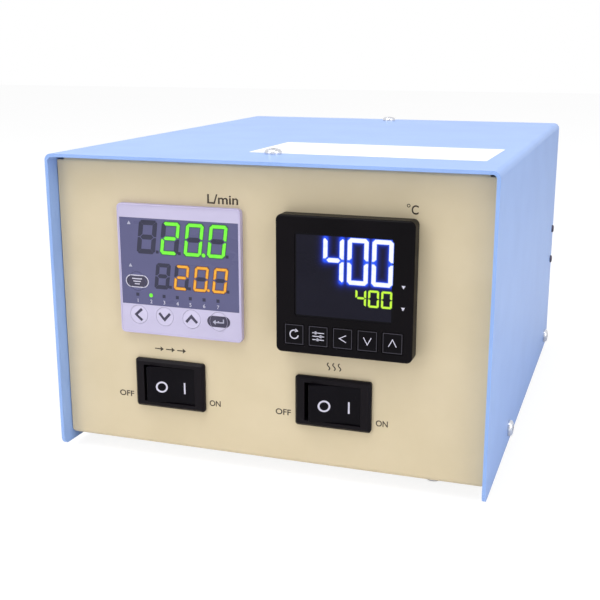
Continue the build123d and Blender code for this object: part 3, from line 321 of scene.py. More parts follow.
SLOT_FINISHES: dict[str, Finish] = {
    "blue_paint": Paint("blue_enamel", (150, 181, 236), (145, 176, 232), 0.38, 0.25, 0.003, 0.16),
    "beige_paint": Paint("beige_enamel", (216, 201, 170), (211, 196, 164), 0.44, 0.25, 0.003, 0.2),
    "bright_screw": Metal("bright_screw", (226, 228, 234), (196, 198, 206), 0.2, 0.4, 0.002),
    "dark_screw": Metal("blackened_screw", (92, 88, 104), (66, 62, 78), 0.34, 0.4, 0.002),
    "foot_rubber": Finish("foot_rubber", (52, 50, 54), (40, 38, 42), 0.78, 0.7, 0.03),
    "lilac_plastic": Finish("lilac_plastic", (196, 188, 220), (188, 180, 213), 0.42, 0.5, 0.004),
    "lilac_film": Gloss("lilac_film", (198, 192, 220), (191, 185, 213), 0.34, 0.8, 0.003, 0.25, 0.05),
    "violet_window": Gloss("violet_window", (97, 97, 133), (92, 92, 127), 0.28, 0.8, 0.002, 0.15, 0.0),
    "violet_key": Gloss("violet_key", (99, 99, 136), (94, 94, 130), 0.3, 0.8, 0.003, 0.15, 0.0),
    "lilac_key": Gloss("lilac_key", (205, 199, 226), (198, 192, 219), 0.34, 0.8, 0.003, 0.25, 0.05),
    "black_bezel": Finish("black_bezel", (14, 11, 15), (10, 8, 11), 0.34, 0.35, 0.004, 0.06),
    "black_window": Gloss("black_window", (12, 11, 17), (9, 8, 13), 0.2, 0.8, 0.001, 0.08, 0.0),
    "black_key": Finish("black_key", (13, 11, 15), (10, 8, 12), 0.32, 0.35, 0.004, 0.06),
    "black_plastic": Finish("black_plastic", (20, 16, 21), (15, 12, 17), 0.38, 0.4, 0.005, 0.09),
    "rocker_plastic": Finish("rocker_plastic", (15, 13, 19), (11, 9, 14), 0.34, 0.4, 0.004, 0.06),
    "grey_plastic": Finish("grey_plastic", (120, 122, 128), (110, 112, 118), 0.5, 0.5, 0.008),
    "white_plastic": Finish("white_plastic", (232, 231, 226), (224, 222, 216), 0.42, 0.5, 0.005),
    "black_rubber": Finish("black_rubber", (34, 33, 36), (27, 26, 29), 0.7, 0.6, 0.02),
    "stainless": Metal("stainless", (205, 206, 209), (176, 178, 183), 0.27, 0.25, 0.003),
    "nickel": Metal("nickel_plate", (214, 210, 199), (188, 184, 174), 0.2, 0.3, 0.002),
    "tinned": Metal("tinned_contact", (210, 211, 215), (182, 184, 190), 0.3, 0.3, 0.002),
    "bare_aluminium": Metal("bare_aluminium", (212, 214, 218), (186, 189, 195), 0.34, 0.25, 0.004),
    "zinc_sheet": Metal("zinc_sheet", (196, 199, 200), (168, 172, 175), 0.4, 5.0, 0.002),
}

PRINT = Finish("screened_print", (54, 44, 32), (66, 55, 41), 0.6, 0.3, 0.002)
WHITE_PRINT = Finish("white_print", (212, 210, 226), (200, 198, 215), 0.5, 0.3, 0.002)
GREY_PRINT = Finish("grey_print", (176, 176, 196), (166, 166, 188), 0.5, 0.3, 0.002)
DARK_PRINT = Finish("violet_print", (58, 54, 78), (50, 46, 70), 0.5, 0.3, 0.002)
KEY_OUTLINE = Finish("moulded_outline", (48, 44, 58), (38, 34, 46), 0.4, 0.3, 0.002)
GHOST = Gloss("unlit_segment", (64, 64, 82), (58, 58, 76), 0.3, 0.8, 0.002, 0.12, 0.0)
# Each lit colour has a dimmer edge lamp, which is a painted halo: light drawn as a band around the lit
# strokes, where their light spreads over the window.
GREEN = Lamp("green_segment", (120, 255, 45), (100, 240, 35))
GREEN_HALO = Lamp("green_edge", (42, 150, 30), (36, 130, 28), power=0.7)
ORANGE = Lamp("orange_segment", (250, 176, 24), (228, 146, 14))
ORANGE_HALO = Lamp("orange_edge", (170, 92, 14), (150, 80, 14), power=0.7)
WHITE = Lamp("white_segment", (252, 252, 255), (232, 240, 255))
WHITE_HALO = Lamp("white_edge", (84, 130, 255), (60, 105, 255))
LIME = Lamp("lime_segment", (206, 255, 30), (186, 244, 24))
LIME_HALO = Lamp("lime_edge", (96, 140, 8), (84, 124, 8), power=0.8)
BLUE_GLOW = Glow(
    "blue_glow", (22, 21, 34), (19, 18, 31), 0.3, 0.8, 0.001, 0.1, halo=(34, 84, 255), deep=(10, 30, 128),
)
PAPER = Finish("label_paper", (246, 246, 250), (238, 239, 245), 0.55, 0.3, 0.004)
PAPER_INK = Finish("label_rule", (196, 199, 214), (206, 209, 222), 0.6, 0.3, 0.002)


def facing(origin: Vector, up: Vector = UP) -> Matrix:
    """Gives the matrix from a flat drawing, in millimetres, to the object.

    Args:
        origin: where the drawing's middle goes, in metres; its right side goes to the object's right.
        up: the way its top points.
    """
    turn = Matrix((RIGHT, up, RIGHT.cross(up))).transposed().to_4x4()
    return Matrix.Translation(origin) @ turn @ Matrix.Scale(MM, 4)


def front(name: str, about: str | None = None, ahead: float = 0.0) -> Matrix:
    """Gives the place of a drawing on the front of a node.

    Args:
        name: the node.
        about: the node whose middle it is centred on, or None for the same one.
        ahead: how far in front of the node it is, in millimetres.

    Returns:
        The matrix from the drawing, in millimetres, to the object.
    """
    low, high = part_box(about or name)
    centre = (low + high) / 2
    return facing(Vector((centre.x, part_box(name)[0].y - ahead * MM, centre.z)))


def extent(verts: Iterable[Corner]) -> tuple[Vector, Vector]:
    """Gives the low and the high corner of the box around some corners."""
    places = [v.co for v in verts]
    low, high = (Vector([pick(p[i] for p in places) for i in range(3)]) for pick in (min, max))
    return low, high


def piece(name: str, bm: Shape, finish: Finish, body: str) -> Object:
    """Turns a finished bmesh into a piece of the object.

    Args:
        name: the piece's name.
        bm: its shape, in metres, in place.
        finish: its surface.
        body: the body that it rides on.

    Returns:
        The new object.
    """
    mesh = bpy.data.meshes.new(name)
    bm.to_mesh(mesh)
    bm.free()
    mesh.materials.append(finish.material())
    made = bpy.data.objects.new(name, mesh)
    bpy.context.scene.collection.objects.link(made)
    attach(made, body)
    log.info("%s: %d faces", name, len(mesh.polygons))
    return made


class Drawing:
    """Flat shapes, drawn in millimetres and given a thickness at the end."""

    weld = 1e-4
    mitre_limit = 0.3
    curve_steps = 10

    def __init__(self) -> None:
        """Starts an empty drawing."""
        self.bm = bmesh.new()

    def _moved(self, verts: Iterable[Corner], at: Point, turn: float = 0.0) -> None:
        """Turns new corners about the origin by degrees, then moves them to their place."""
        place = Matrix.Translation((*at, 0)) @ Matrix.Rotation(math.radians(turn), 4, "Z")
        bmesh.ops.transform(self.bm, matrix=place, verts=list(verts))

    def polygon(self, corners: Iterable[Point]) -> None:
        """Draws one filled outline, its corners counter-clockwise."""
        self.bm.faces.new([self.bm.verts.new((x, y, 0)) for x, y in corners])

    def bar(self, at: Point, width: float, height: float, turn: float = 0.0) -> None:
        """Draws a filled rectangle about a point."""
        made = bmesh.ops.create_grid(self.bm, x_segments=1, y_segments=1, size=0.5)["verts"]
        bmesh.ops.scale(self.bm, vec=(width, height, 1), verts=made)
        self._moved(made, at, turn)

    def disc(self, at: Point, radius: float, sides: int = 24, turn: float = 0.0) -> None:
        """Draws a filled circle or regular polygon."""
        made = bmesh.ops.create_circle(self.bm, cap_ends=True, radius=radius, segments=sides)["verts"]
        self._moved(made, at, turn)

    @staticmethod
    def _curve(at: Point, radius: float, start: float, stop: float, steps: int) -> list[Point]:
        """Gives points on a stretch of a circle between two angles, both ends included."""
        angles = (start + (stop - start) * i / steps for i in range(steps + 1))
        return [(at[0] + radius * math.cos(a), at[1] + radius * math.sin(a)) for a in angles]

    def pill_share(self, width: float, height: float, radius: float, within: bool) -> None:
        """Draws the part of a pill that lies within a circle about its middle, or the two ends outside it.

        Args:
            width: the pill's width.
            height: its height.
            radius: the circle's radius.
            within: True for the middle part.
        """
        reach, end = (width - height) / 2, height / 2
        turn = math.acos((radius**2 - reach**2 - end**2) / (2 * reach * end))
        rise = math.atan2(end * math.sin(turn), reach + end * math.cos(turn))
        around = self._curve((0, 0), radius, -rise, rise, self.curve_steps)
        if within:
            upper = self._curve((reach, 0), end, turn, math.pi / 2, self.curve_steps)[1:]
            half = [(x, -y) for x, y in upper[::-1]] + around + upper
            self.polygon(half + [(-x, -y) for x, y in half])
            return
        tip = self._curve((reach, 0), end, -turn, turn, self.curve_steps)
        for side in (1, -1):
            self.polygon([(side * x, side * y) for x, y in tip + around[-2:0:-1]])

    def line(self, points: list[Point], stroke: float) -> None:
        """Draws a line of one width through some points, with mitred corners."""
        path = [Vector(p) for p in points]
        sides: list[list[Vector]] = [[], []]
        for i, here in enumerate(path):
            ways = [(b - a).normalized() for a, b in zip(path[max(i - 1, 0):i + 1], path[max(i, 1):i + 2])]
            mean = sum(ways, Vector((0, 0))).normalized()
            across = Vector((-mean.y, mean.x)) * stroke / 2 / max(mean.dot(ways[0]), self.mitre_limit)
            sides[0].append(here - across)
            sides[1].append(here + across)
        rows = [[self.bm.verts.new((*p, 0)) for p in side] for side in sides]
        for a, b, c, d in zip(rows[0], rows[0][1:], rows[1][1:], rows[1]):
            self.bm.faces.new((a, b, c, d))

    def arc(self, at: Point, radius: float, stroke: float, start: float, end: float, steps: int = 14) -> None:
        """Draws a stretch of a circle between two angles in degrees."""
        self.line(self._curve(at, radius, math.radians(start), math.radians(end), steps), stroke)

    def words(
        self, text: str, at: Point, height: float, width: float | None = None, weight: float = 0.0
    ) -> None:
        """Draws lettering of a given height about a point.

        Args:
            text: what it says.
            at: the middle of its box.
            height: the box's height.
            width: the box's width, or None for the letters' own proportions.
            weight: how much thicker, or thinner when negative, its strokes are.
        """
        curve = bpy.data.curves.new("lettering", "FONT")
        curve.body = text
        curve.offset = weight
        carrier = bpy.data.objects.new("lettering", curve)
        mesh = bpy.data.meshes.new_from_object(carrier)
        bpy.data.objects.remove(carrier)
        before = set(self.bm.verts)
        self.bm.from_mesh(mesh)
        bpy.data.meshes.remove(mesh)
        made = [v for v in self.bm.verts if v not in before]
        low, high = extent(made)
        middle, size = (low + high) / 2, high - low
        tall = height / size.y
        wide = tall if width is None else width / size.x
        bmesh.ops.translate(self.bm, vec=(-middle.x, -middle.y, 0), verts=made)
        bmesh.ops.scale(self.bm, vec=(wide, tall, 1), verts=made)
        self._moved(made, at)

    def slanted(self, slope: float) -> None:
        """Leans the whole drawing to the right, by so much sideways for each step up."""
        for vert in self.bm.verts:
            vert.co.x += slope * vert.co.y

    def solid(self, place: Matrix, thickness: float, proud: float = 0.01) -> Shape:
        """Gives the drawing a thickness and puts it on the object.

        Args:
            place: the matrix from drawing to object.
            thickness: in millimetres.
            proud: how far its underside is above the surface.

        Returns:
            The shape, in metres.
        """
        bm = self.bm
        bmesh.ops.remove_doubles(bm, verts=bm.verts, dist=self.weld)
        flipped = [f for f in bm.faces if f.normal.z < 0]
        bmesh.ops.reverse_faces(bm, faces=flipped)
        made = bmesh.ops.extrude_face_region(bm, geom=bm.faces[:], use_keep_orig=True)["geom"]
        top = [g for g in made if isinstance(g, Corner)]
        bmesh.ops.translate(bm, vec=(0, 0, thickness), verts=top)
        bmesh.ops.translate(bm, vec=(0, 0, proud), verts=bm.verts)
        bmesh.ops.recalc_face_normals(bm, faces=bm.faces)
        bm.transform(place)
        return bm


def seated(bm: Shape, node: Object, proud: float) -> Shape:
    """Lays a flat mark on a curved front face.

    Args:
        bm: the mark, in place in front of the face.
        node: the piece that carries it.
        proud: how far the mark's underside is above the face, in millimetres.

    Returns:
        The mark, bent to the face.
    """
    step = BEND_STEP * MM
    low, high = extent(bm.verts)
    for axis, way in ((0, RIGHT), (2, UP)):
        for i in range(1, math.ceil((high[axis] - low[axis]) / step)):
            at = low + way * i * step
            geometry = bm.verts[:] + bm.edges[:] + bm.faces[:]
            bmesh.ops.bisect_plane(bm, geom=geometry, plane_co=at, plane_no=way, dist=1e-7)
    tree = BVHTree.FromPolygons([v.co for v in node.data.vertices], [p.vertices for p in node.data.polygons])
    for vert in bm.verts:
        hit = tree.ray_cast(vert.co - REAR * RAY_START * MM, REAR)[0]
        if hit is not None:
            vert.co.y += hit.y - high.y - proud * MM
    return bm


@dataclass
class Pieces:
    """The CAD nodes, what is laid on them, and softened copies with the rounds that tools and paint leave.

    Edges that turn by fewer degrees than least_turn stay as they are, and shading breaks at sharp_turn.
    """

    nodes: dict[str, Object]
    bodies: dict[str, str]
    slots: dict[str, str]
    segments: int = 2
    least_turn: float = 32.0
    sharp_turn: float = 35.0
    flat_turn: float = 0.3
    weld: float = 2e-6

    def carry(self, name: str, bm: Shape, finish: Finish, node: str) -> Object:
        """Makes a piece that rides with a node, in the given finish."""
        return piece(name, bm, finish, self.bodies[node])

    def soften(self, name: str, radius: float) -> Object:
        """Makes a copy of a node with rounded edges, which then stands for it.

        Args:
            name: the node.
            radius: the width of the rounds, in millimetres.

        Returns:
            The copy.
        """
        bm = bmesh.new()
        bm.from_mesh(self.nodes[name].data)
        bmesh.ops.remove_doubles(bm, verts=bm.verts, dist=self.weld)
        flat = math.radians(self.flat_turn)
        bmesh.ops.dissolve_limit(bm, angle_limit=flat, verts=bm.verts, edges=bm.edges)
        limit = math.radians(self.least_turn)
        sharp = [e for e in bm.edges if len(e.link_faces) == 2 and e.calc_face_angle(0) > limit]
        bmesh.ops.bevel(
            bm, geom=sharp, offset=radius * MM, offset_type="OFFSET", affect="EDGES",
            segments=self.segments, profile=0.5, material=-1, clamp_overlap=True, loop_slide=True,
        )
        bmesh.ops.recalc_face_normals(bm, faces=bm.faces)
        for face in bm.faces:
            face.smooth = True
        made = self.carry(name + "_body", bm, SLOT_FINISHES[self.slots[name]], name)
        made.data.set_sharp_from_angle(angle=math.radians(self.sharp_turn))
        weights = made.modifiers.new("even shading", "WEIGHTED_NORMAL")
        weights.keep_sharp = True
        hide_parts(name)
        return made


class Segment(Enum):
    """The seven strokes of a digit, each as its end points in half-widths and half-heights, clockwise."""

    TOP = ((-1, 1), (1, 1))
    UPPER_RIGHT = ((1, 1), (1, 0))
    LOWER_RIGHT = ((1, 0), (1, -1))
    BOTTOM = ((1, -1), (-1, -1))
    LOWER_LEFT = ((-1, -1), (-1, 0))
    UPPER_LEFT = ((-1, 0), (-1, 1))
    MIDDLE = ((-1, 0), (1, 0))


DIGITS: dict[str, tuple[Segment, ...]] = {
    "0": tuple(s for s in Segment if s is not Segment.MIDDLE),
    "2": (Segment.TOP, Segment.UPPER_RIGHT, Segment.MIDDLE, Segment.LOWER_LEFT, Segment.BOTTOM),
    "4": (Segment.UPPER_LEFT, Segment.MIDDLE, Segment.UPPER_RIGHT, Segment.LOWER_RIGHT),
    "8": tuple(Segment),
    " ": (),
}


@dataclass
class Readout:
    """A row of seven-segment digits. Sizes in millimetres, places from the instrument's middle."""

    name: str
    digits: str
    centres: tuple[float, ...]
    middle: float
    width: float
    height: float
    stroke: float
    slope: float
    gap: float = 0.35
    corner_gap: float = 0.04
    chamfer: float = 0.35
    point: Point | None = None
    point_radius: float = 0.7
    unlit_points: tuple[float, ...] = ()

    def strokes(self, digit: str, centre: float) -> list[tuple[Segment, Vector, Vector]]:
        """Gives the middle lines of a digit's lit strokes, upright."""
        half = Vector(((self.width - self.stroke) / 2, (self.height - self.stroke) / 2))
        at = Vector((centre, 0))
        return [(segment, *(at + Vector(e) * half for e in segment.value)) for segment in DIGITS[digit]]

    def tip(
        self, segment: Segment, last: bool, end: Vector, along: Vector, half: float, gap: float
    ) -> list[Vector]:
        """Gives the outline of one end of a stroke, from its inner to its outer side.

        Args:
            segment: the stroke.
            last: True for its second end.
            end: where its middle line ends.
            along: the way from this end into the stroke.
            half: half its width.
            gap: what is left in front of the end.

        Returns:
            The corners.
        """
        outward = Vector((-along.y, along.x)) * (-1 if last else 1)
        at_corner = abs(segment.value[last][1]) == 1
        near = min(gap, self.corner_gap) if at_corner else gap
        inner = end + along * (near + half) - outward * half
        if at_corner:
            cut = self.stroke * self.chamfer
            middle = end + along * (near - half + cut) + outward * (half - cut)
            return [inner, middle, end + along * (near - half + 2 * cut) + outward * half]
        reach = near + half if segment is Segment.MIDDLE else near
        return [inner, end + along * near, end + along * reach + outward * half]

    def draw(self, spread: float, shown: str, gap: float) -> Drawing:
        """Draws the digits, slanted and in place.

        Args:
            spread: how far each stroke grows to both sides.
            shown: which digits are drawn, one for each centre; a space leaves one out.
            gap: what is left between neighbouring strokes.
        """
        sheet = Drawing()
        half = self.stroke / 2 + spread
        for digit, centre in zip(shown, self.centres):
            for segment, start, end in self.strokes(digit, centre):
                along = (end - start).normalized()
                first = self.tip(segment, False, start, along, half, gap)
                second = self.tip(segment, True, end, -along, half, gap)
                sheet.polygon([tuple(c) for c in first + second[::-1]])
        sheet.slanted(self.slope)
        for vert in sheet.bm.verts:
            vert.co.y += self.middle
        return sheet

    def light(self, point: Vector) -> float:
        """Gives the distance from a point to the nearest lit stroke's edge."""
        upright = Vector((point.x - self.slope * (point.y - self.middle), point.y - self.middle))
        best = math.inf
        for digit, centre in zip(self.digits, self.centres):
            for _, start, end in self.strokes(digit, centre):
                run = end - start
                share = min(max((upright - start).dot(run) / run.length_squared, 0), 1)
                best = min(best, (upright - start - run * share).length)
        return max(best - self.stroke / 2, 0)


@dataclass
class Case:
    """The folded cover and chassis, and the label on top."""

    pieces: Pieces
    edge: float = 0.22
    label_low: Point = (-13.0, 26.6)
    label_size: Point = (86.4, 41.0)
    label_lean: float = -1.0
    label_corner: float = 1.2
    rule_width: float = 0.45
    rule_rows: int = 9
    rule_margin: float = 4.0
    rule_step: float = 0.17

    def build(self) -> None:
        """Softens the sheets and lays the label."""
        for name in ("cover", "chassis"):
            self.pieces.soften(name, self.edge)
        self.label()

    def label(self) -> None:
        """Lays the white label with its pale ruled lines on the top."""
        low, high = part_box("cover")
        corner = Vector((0, low.y, high.z)) + Vector((*self.label_low, 0)) * MM
        place = facing(corner, REAR)
        width, depth = self.label_size
        sheet = Drawing()
        sheet.bar((width / 2, depth / 2), width, depth, self.label_lean)
        bmesh.ops.bevel(
            sheet.bm, geom=sheet.bm.verts[:], offset=self.label_corner, affect="VERTICES", segments=4,
            profile=0.5, material=-1,
        )
        piece("top_label", sheet.solid(place, 0.08), PAPER, "controller")
        rules = Drawing()
        span = width - 2 * self.rule_margin
        pitch = (depth - 2 * self.rule_margin) / (self.rule_rows - 1)
        for row in range(self.rule_rows):
            reach = span * (1 - self.rule_step * (row * 5 % 4))
            at = (self.rule_margin + reach / 2, self.rule_margin + row * pitch)
            rules.bar(at, reach, self.rule_width, self.label_lean)
        piece("top_label_rules", rules.solid(place, 0.01, 0.09), PAPER_INK, "controller")


@dataclass
class Instrument:
    """What both panel instruments share: a bezel, and a window that carries lights and prints.

    Sizes in millimetres, places from the middle of the bezel.
    """

    pieces: Pieces
    name: str = ""
    bezel_edge: float = 0.12
    lit_spread: float = 0.0
    # the painted halo of light around the lit strokes: how far it spreads beyond them and how far it lies
    # above the window
    halo_spread: float = 0.12
    halo_level: float = 0.03
    halo_closing: int = 2        # how many times narrower the gaps between the painted halos are
    layer: float = 0.02

    def begin(self) -> None:
        """Softens the bezel and finds the front of the window."""
        self.bezel, self.window = f"{self.name}_bezel", f"{self.name}_window"
        self.pieces.soften(self.bezel, self.bezel_edge)
        self.place = front(self.window, self.bezel)

    def lay(
        self, name: str, sheet: Drawing, finish: Finish, proud: float = 0.01, thickness: float = 0.01
    ) -> None:
        """Lays lights or prints on the window."""
        self.pieces.carry(name, sheet.solid(self.place, thickness, proud), finish, self.window)

    def readout(self, row: Readout, lit: Finish, edge: Finish) -> None:
        """Builds one readout: a wider, dimmer painted halo of the strokes' light, then the lit strokes over
        it.
        """
        for part, finish, spread, gap, proud in (
            ("rims", edge, self.halo_spread, row.gap / self.halo_closing, self.halo_level),
            ("strokes", lit, self.lit_spread, row.gap, self.halo_level + self.layer),
        ):
            sheet = row.draw(spread, row.digits, gap)
            if row.point is not None:
                sheet.disc(row.point, row.point_radius + max(spread, 0))
            self.lay(f"{row.name}_{part}", sheet, finish, proud)


@dataclass
class FlowDisplay(Instrument):
    """The left instrument: lilac film, grey-violet window, two readouts, pilots and keys."""

    name: str = "flow"
    lit_spread: float = -0.08
    ghost_spread: float = 0.22
    ghost_point: float = 1.1
    ghost_point_rise: float = 0.75
    slope: float = 0.126
    green: Readout = field(init=False)
    orange: Readout = field(init=False)
    pilots: tuple[float, ...] = (-16.8, -11.4, -6.2, -0.9, 4.2, 9.6, 15.0)
    lit_pilot: int = 1
    pilot_height: float = -9.3
    pilot_side: float = 1.2
    pilot_radius: float = 0.75
    numeral_height: float = -11.6
    numeral_size: float = 1.35
    pointers: tuple[Point, ...] = ((-19.3, 16.9), (-19.3, 1.3))
    pointer_radius: float = 0.85
    enter_size: Point = (8.9, 4.1)
    display_size: Point = (8.6, 4.0)
    display_outline: float = 0.7
    bar_lengths: Place = (4.0, 3.0, 2.0)
    bar_pitch: float = 0.95
    bar_stroke: float = 0.38
    arrow_turns: tuple[tuple[str, float], ...] = (("left", 90), ("down", 180), ("up", 0))
    key_edge: float = 0.08

    def __post_init__(self) -> None:
        """Sets the two readouts."""
        self.green = Readout(
            "green", " 200", (-12.2, -3.1, 6.15, 15.2), 12.15, 6.9, 11.9, 1.35, self.slope,
            point=(9.8, 6.9), unlit_points=(-8.3, 0.4, 18.8),
        )
        self.orange = Readout(
            "orange", " 200", (-6.5, 1.0, 8.6, 16.0), -1.85, 5.4, 9.15, 1.05, self.slope,
            point=(11.4, -5.7), point_radius=0.5, unlit_points=(-3.5, 4.0, 18.9),
        )

    def build(self) -> None:
        """Builds the whole face."""
        self.begin()
        for row, lit, edge in ((self.green, GREEN, GREEN_HALO), (self.orange, ORANGE, ORANGE_HALO)):
            self.ghosts(row)
            self.readout(row, lit, edge)
        self.pilot_row()
        marks = Drawing()
        for at in self.pointers:
            marks.disc(at, self.pointer_radius, 3)
        self.lay("display_pointers", marks, GREY_PRINT)
        self.keys()

    def ghosts(self, row: Readout) -> None:
        """Builds a readout's unlit strokes and points."""
        sheet = row.draw(self.ghost_spread, "8" * len(row.centres), row.gap / 2)
        for x in row.unlit_points:
            at = (x, row.middle - row.height / 2 + self.ghost_point_rise)
            sheet.bar(at, self.ghost_point, self.ghost_point)
        self.lay(f"{row.name}_unlit", sheet, GHOST)

    def pilot_row(self) -> None:
        """Builds the seven pilots, one of them lit, with their numerals."""
        dark, numerals, lit = Drawing(), Drawing(), Drawing()
        for index, x in enumerate(self.pilots):
            if index != self.lit_pilot:
                dark.bar((x, self.pilot_height), self.pilot_side, self.pilot_side)
            numerals.words(str(index + 1), (x, self.numeral_height), self.numeral_size)
        self.lay("pilots_unlit", dark, GHOST)
        self.lay("pilot_numerals", numerals, WHITE_PRINT)
        lit.disc((self.pilots[self.lit_pilot], self.pilot_height), self.pilot_radius)
        self.lay("pilot_lit", lit, GREEN, self.layer, self.layer)

    def keys(self) -> None:
        """Prints the five keys; each print rides on its key."""
        nodes = self.pieces.nodes
        self.display(nodes["flow_display_key"])
        for name, turn in self.arrow_turns:
            self.chevron(nodes[f"flow_{name}_key"], turn)
        self.enter(nodes["flow_enter_key"])

    def print_on(self, name: str, sheet: Drawing, node: Object, ink: Finish, proud: float) -> None:
        """Lays a print on a domed key."""
        bm = seated(sheet.solid(front(node.name), 0.01, 0.0), node, proud)
        self.pieces.carry(name, bm, ink, node.name)

    def chevron(self, node: Object, turn: float) -> None:
        """Prints an arrow head that points up before it is turned."""
        sheet = Drawing()
        sheet.line([(-2.15, -1.25), (0, 1.1), (2.15, -1.25)], 1.0)
        bmesh.ops.rotate(sheet.bm, matrix=Matrix.Rotation(math.radians(turn), 3, "Z"), verts=sheet.bm.verts)
        self.print_on(node.name + "_print", sheet, node, DARK_PRINT, 0.02)

    def pill(self, name: str, size: Point, ink: Finish, node: Object, proud: float) -> None:
        """Prints a pill that is wider than its key: the middle on the key, the ends on the display.

        Args:
            name: what the pill is called.
            size: its width and height.
            ink: its finish.
            node: the key.
            proud: how far above the surfaces it lies.
        """
        low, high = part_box(node.name)
        radius = (high.x - low.x) / 2 / MM
        middle, ends = Drawing(), Drawing()
        middle.pill_share(*size, radius - self.key_edge, True)
        self.print_on(name, middle, node, ink, proud)
        ends.pill_share(*size, radius + self.key_edge, False)
        under = "flow_window" if name.startswith("display") else "flow_film"
        self.pieces.carry(name + "_ends", ends.solid(front(under, node.name), 0.01, proud), ink, under)

    def enter(self, node: Object) -> None:
        """Prints the dark pill with a return arrow."""
        self.pill("enter_pill", self.enter_size, DARK_PRINT, node, 0.02)
        arrow = Drawing()
        arrow.line([(1.9, 1.0), (1.9, -0.25), (-1.3, -0.25)], 0.45)
        arrow.polygon([(-1.1, 0.7), (-2.3, -0.25), (-1.1, -1.2)])
        self.print_on("enter_arrow", arrow, node, GREY_PRINT, 0.05)

    def display(self, node: Object) -> None:
        """Prints the outlined pill with three bars."""
        width, height = self.display_size
        outline = (width + self.display_outline, height + self.display_outline)
        self.pill("display_outline", outline, WHITE_PRINT, node, 0.015)
        self.pill("display_pill", self.display_size, DARK_PRINT, node, 0.035)
        bars = Drawing()
        for step, reach in enumerate(self.bar_lengths):
            bars.bar((0, self.bar_pitch - self.bar_pitch * step), reach, self.bar_stroke)
        self.print_on("display_bars", bars, node, WHITE_PRINT, 0.055)


@dataclass
class TemperatureDisplay(Instrument):
    """The right instrument: deep black bezel, glowing readout and five square keys."""

    name: str = "heat"
    bezel_edge: float = 0.15
    # a wider painted halo of light around the lit strokes on this instrument
    halo_spread: float = 0.16
    halo_level: float = 0.04
    halo_closing: int = 3
    glow_margin: float = 1.2
    glow_reach: float = 0.62
    glow_cell: float = 0.3
    pointer_x: float = 20.6
    pointer_heights: Point = (2.25, -5.1)
    pointer_radius: float = 0.75
    key_edge: float = 0.12
    outline_margin: float = 0.5
    outline_stroke: float = 0.22
    sign_stroke: float = 0.28
    arrows: dict[str, list[Point]] = field(default_factory=lambda: {
        "left": [(1.25, 1.25), (-1.15, 0), (1.25, -1.25)],
        "down": [(-1.35, 1.2), (0, -1.3), (1.35, 1.2)],
        "up": [(-1.35, -1.2), (0, 1.3), (1.35, -1.2)],
    })
    sliders: tuple[Point, ...] = ((1.2, -0.9), (0, 0.9), (-1.2, -0.2))
    slider_length: float = 4.2
    slider_stop: float = 0.5
    white: Readout = field(init=False)
    lime: Readout = field(init=False)

    def __post_init__(self) -> None:
        """Sets the two readouts, measured from the instrument's middle."""
        self.white = Readout("white", "400", (-3.5, 4.9, 13.3), 9.5, 7.1, 15.7, 1.4, 0.012, 0.5, 0.0)
        self.lime = Readout("lime", "400", (6.1, 10.5, 14.95), -2.7, 3.6, 5.8, 0.62, 0.012, 0.2, 0.03)

    def build(self) -> None:
        """Builds the whole face."""
        self.begin()
        self.glow()
        self.readout(self.white, WHITE, WHITE_HALO)
        self.readout(self.lime, LIME, LIME_HALO)
        marks = Drawing()
        for y in self.pointer_heights:
            marks.disc((self.pointer_x, y), self.pointer_radius, 3, 180)
        bm = marks.solid(front(self.bezel), 0.01, 0.01)
        self.pieces.carry("temperature_pointers", bm, WHITE_PRINT, self.bezel)
        self.keys()

    def glow(self) -> None:
        """Lays a thin plate over the window that holds, point by point, how near a lit stroke is."""
        low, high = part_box(self.window)
        bezel_low, bezel_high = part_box(self.bezel)
        centre = (bezel_low + bezel_high) / 2
        size = ((high.x - low.x) / MM - self.glow_margin, (high.z - low.z) / MM - self.glow_margin)
        middle = (((high.x + low.x) / 2 - centre.x) / MM, ((high.z + low.z) / 2 - centre.z) / MM)
        bm = bmesh.new()
        columns, rows = (math.ceil(s / self.glow_cell) for s in size)
        bmesh.ops.create_grid(bm, x_segments=columns, y_segments=rows, size=0.5)
        bmesh.ops.scale(bm, vec=(*size, 1), verts=bm.verts)
        bmesh.ops.translate(bm, vec=(*middle, self.layer), verts=bm.verts)
        layer = bm.verts.layers.float.new(BLUE_GLOW.measure)
        for vert in bm.verts:
            vert[layer] = math.exp(-self.white.light(vert.co.xy) / self.glow_reach)
        bm.transform(self.place)
        self.pieces.carry("lit_field", bm, BLUE_GLOW, self.window)

    def keys(self) -> None:
        """Outlines and prints the five square keys; each print rides on its key."""
        for name in ("mode", "menu", "left", "down", "up"):
            node = f"heat_{name}_key"
            made = self.pieces.soften(node, self.key_edge)
            place = front(node)
            outline = self.outline(node).solid(place, 0.06, 0.0)
            self.pieces.carry(f"{made.name}_outline", outline, KEY_OUTLINE, node)
            sign = self.sign(name).solid(place, 0.01, 0.01)
            self.pieces.carry(f"{made.name}_print", sign, WHITE_PRINT, node)

    def outline(self, node: str) -> Drawing:
        """Draws the square line just inside a key's edge."""
        low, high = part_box(node)
        width, height = ((high[i] - low[i]) / MM - self.outline_margin for i in (0, 2))
        stroke = self.outline_stroke
        sheet = Drawing()
        for side in (-1, 1):
            sheet.bar((side * (width / 2 - stroke / 2), 0), stroke, height)
            sheet.bar((0, side * (height / 2 - stroke / 2)), width - 2 * stroke, stroke)
        return sheet

    def sign(self, name: str) -> Drawing:
        """Draws a key's sign: a round arrow, the sliders for the settings or an arrow."""
        sheet = Drawing()
        if name == "mode":
            sheet.arc((0, 0), 1.5, 0.4, 60, 350)
            sheet.polygon([(0.2, 0.75), (1.5, 1.2), (0.55, 2.15)])
        elif name == "menu":
            for row, stop in self.sliders:
                sheet.bar((0, row), self.slider_length, self.sign_stroke)
                sheet.disc((stop, row), self.slider_stop, 12)
        else:
            sheet.line(self.arrows[name], self.sign_stroke)
        return sheet


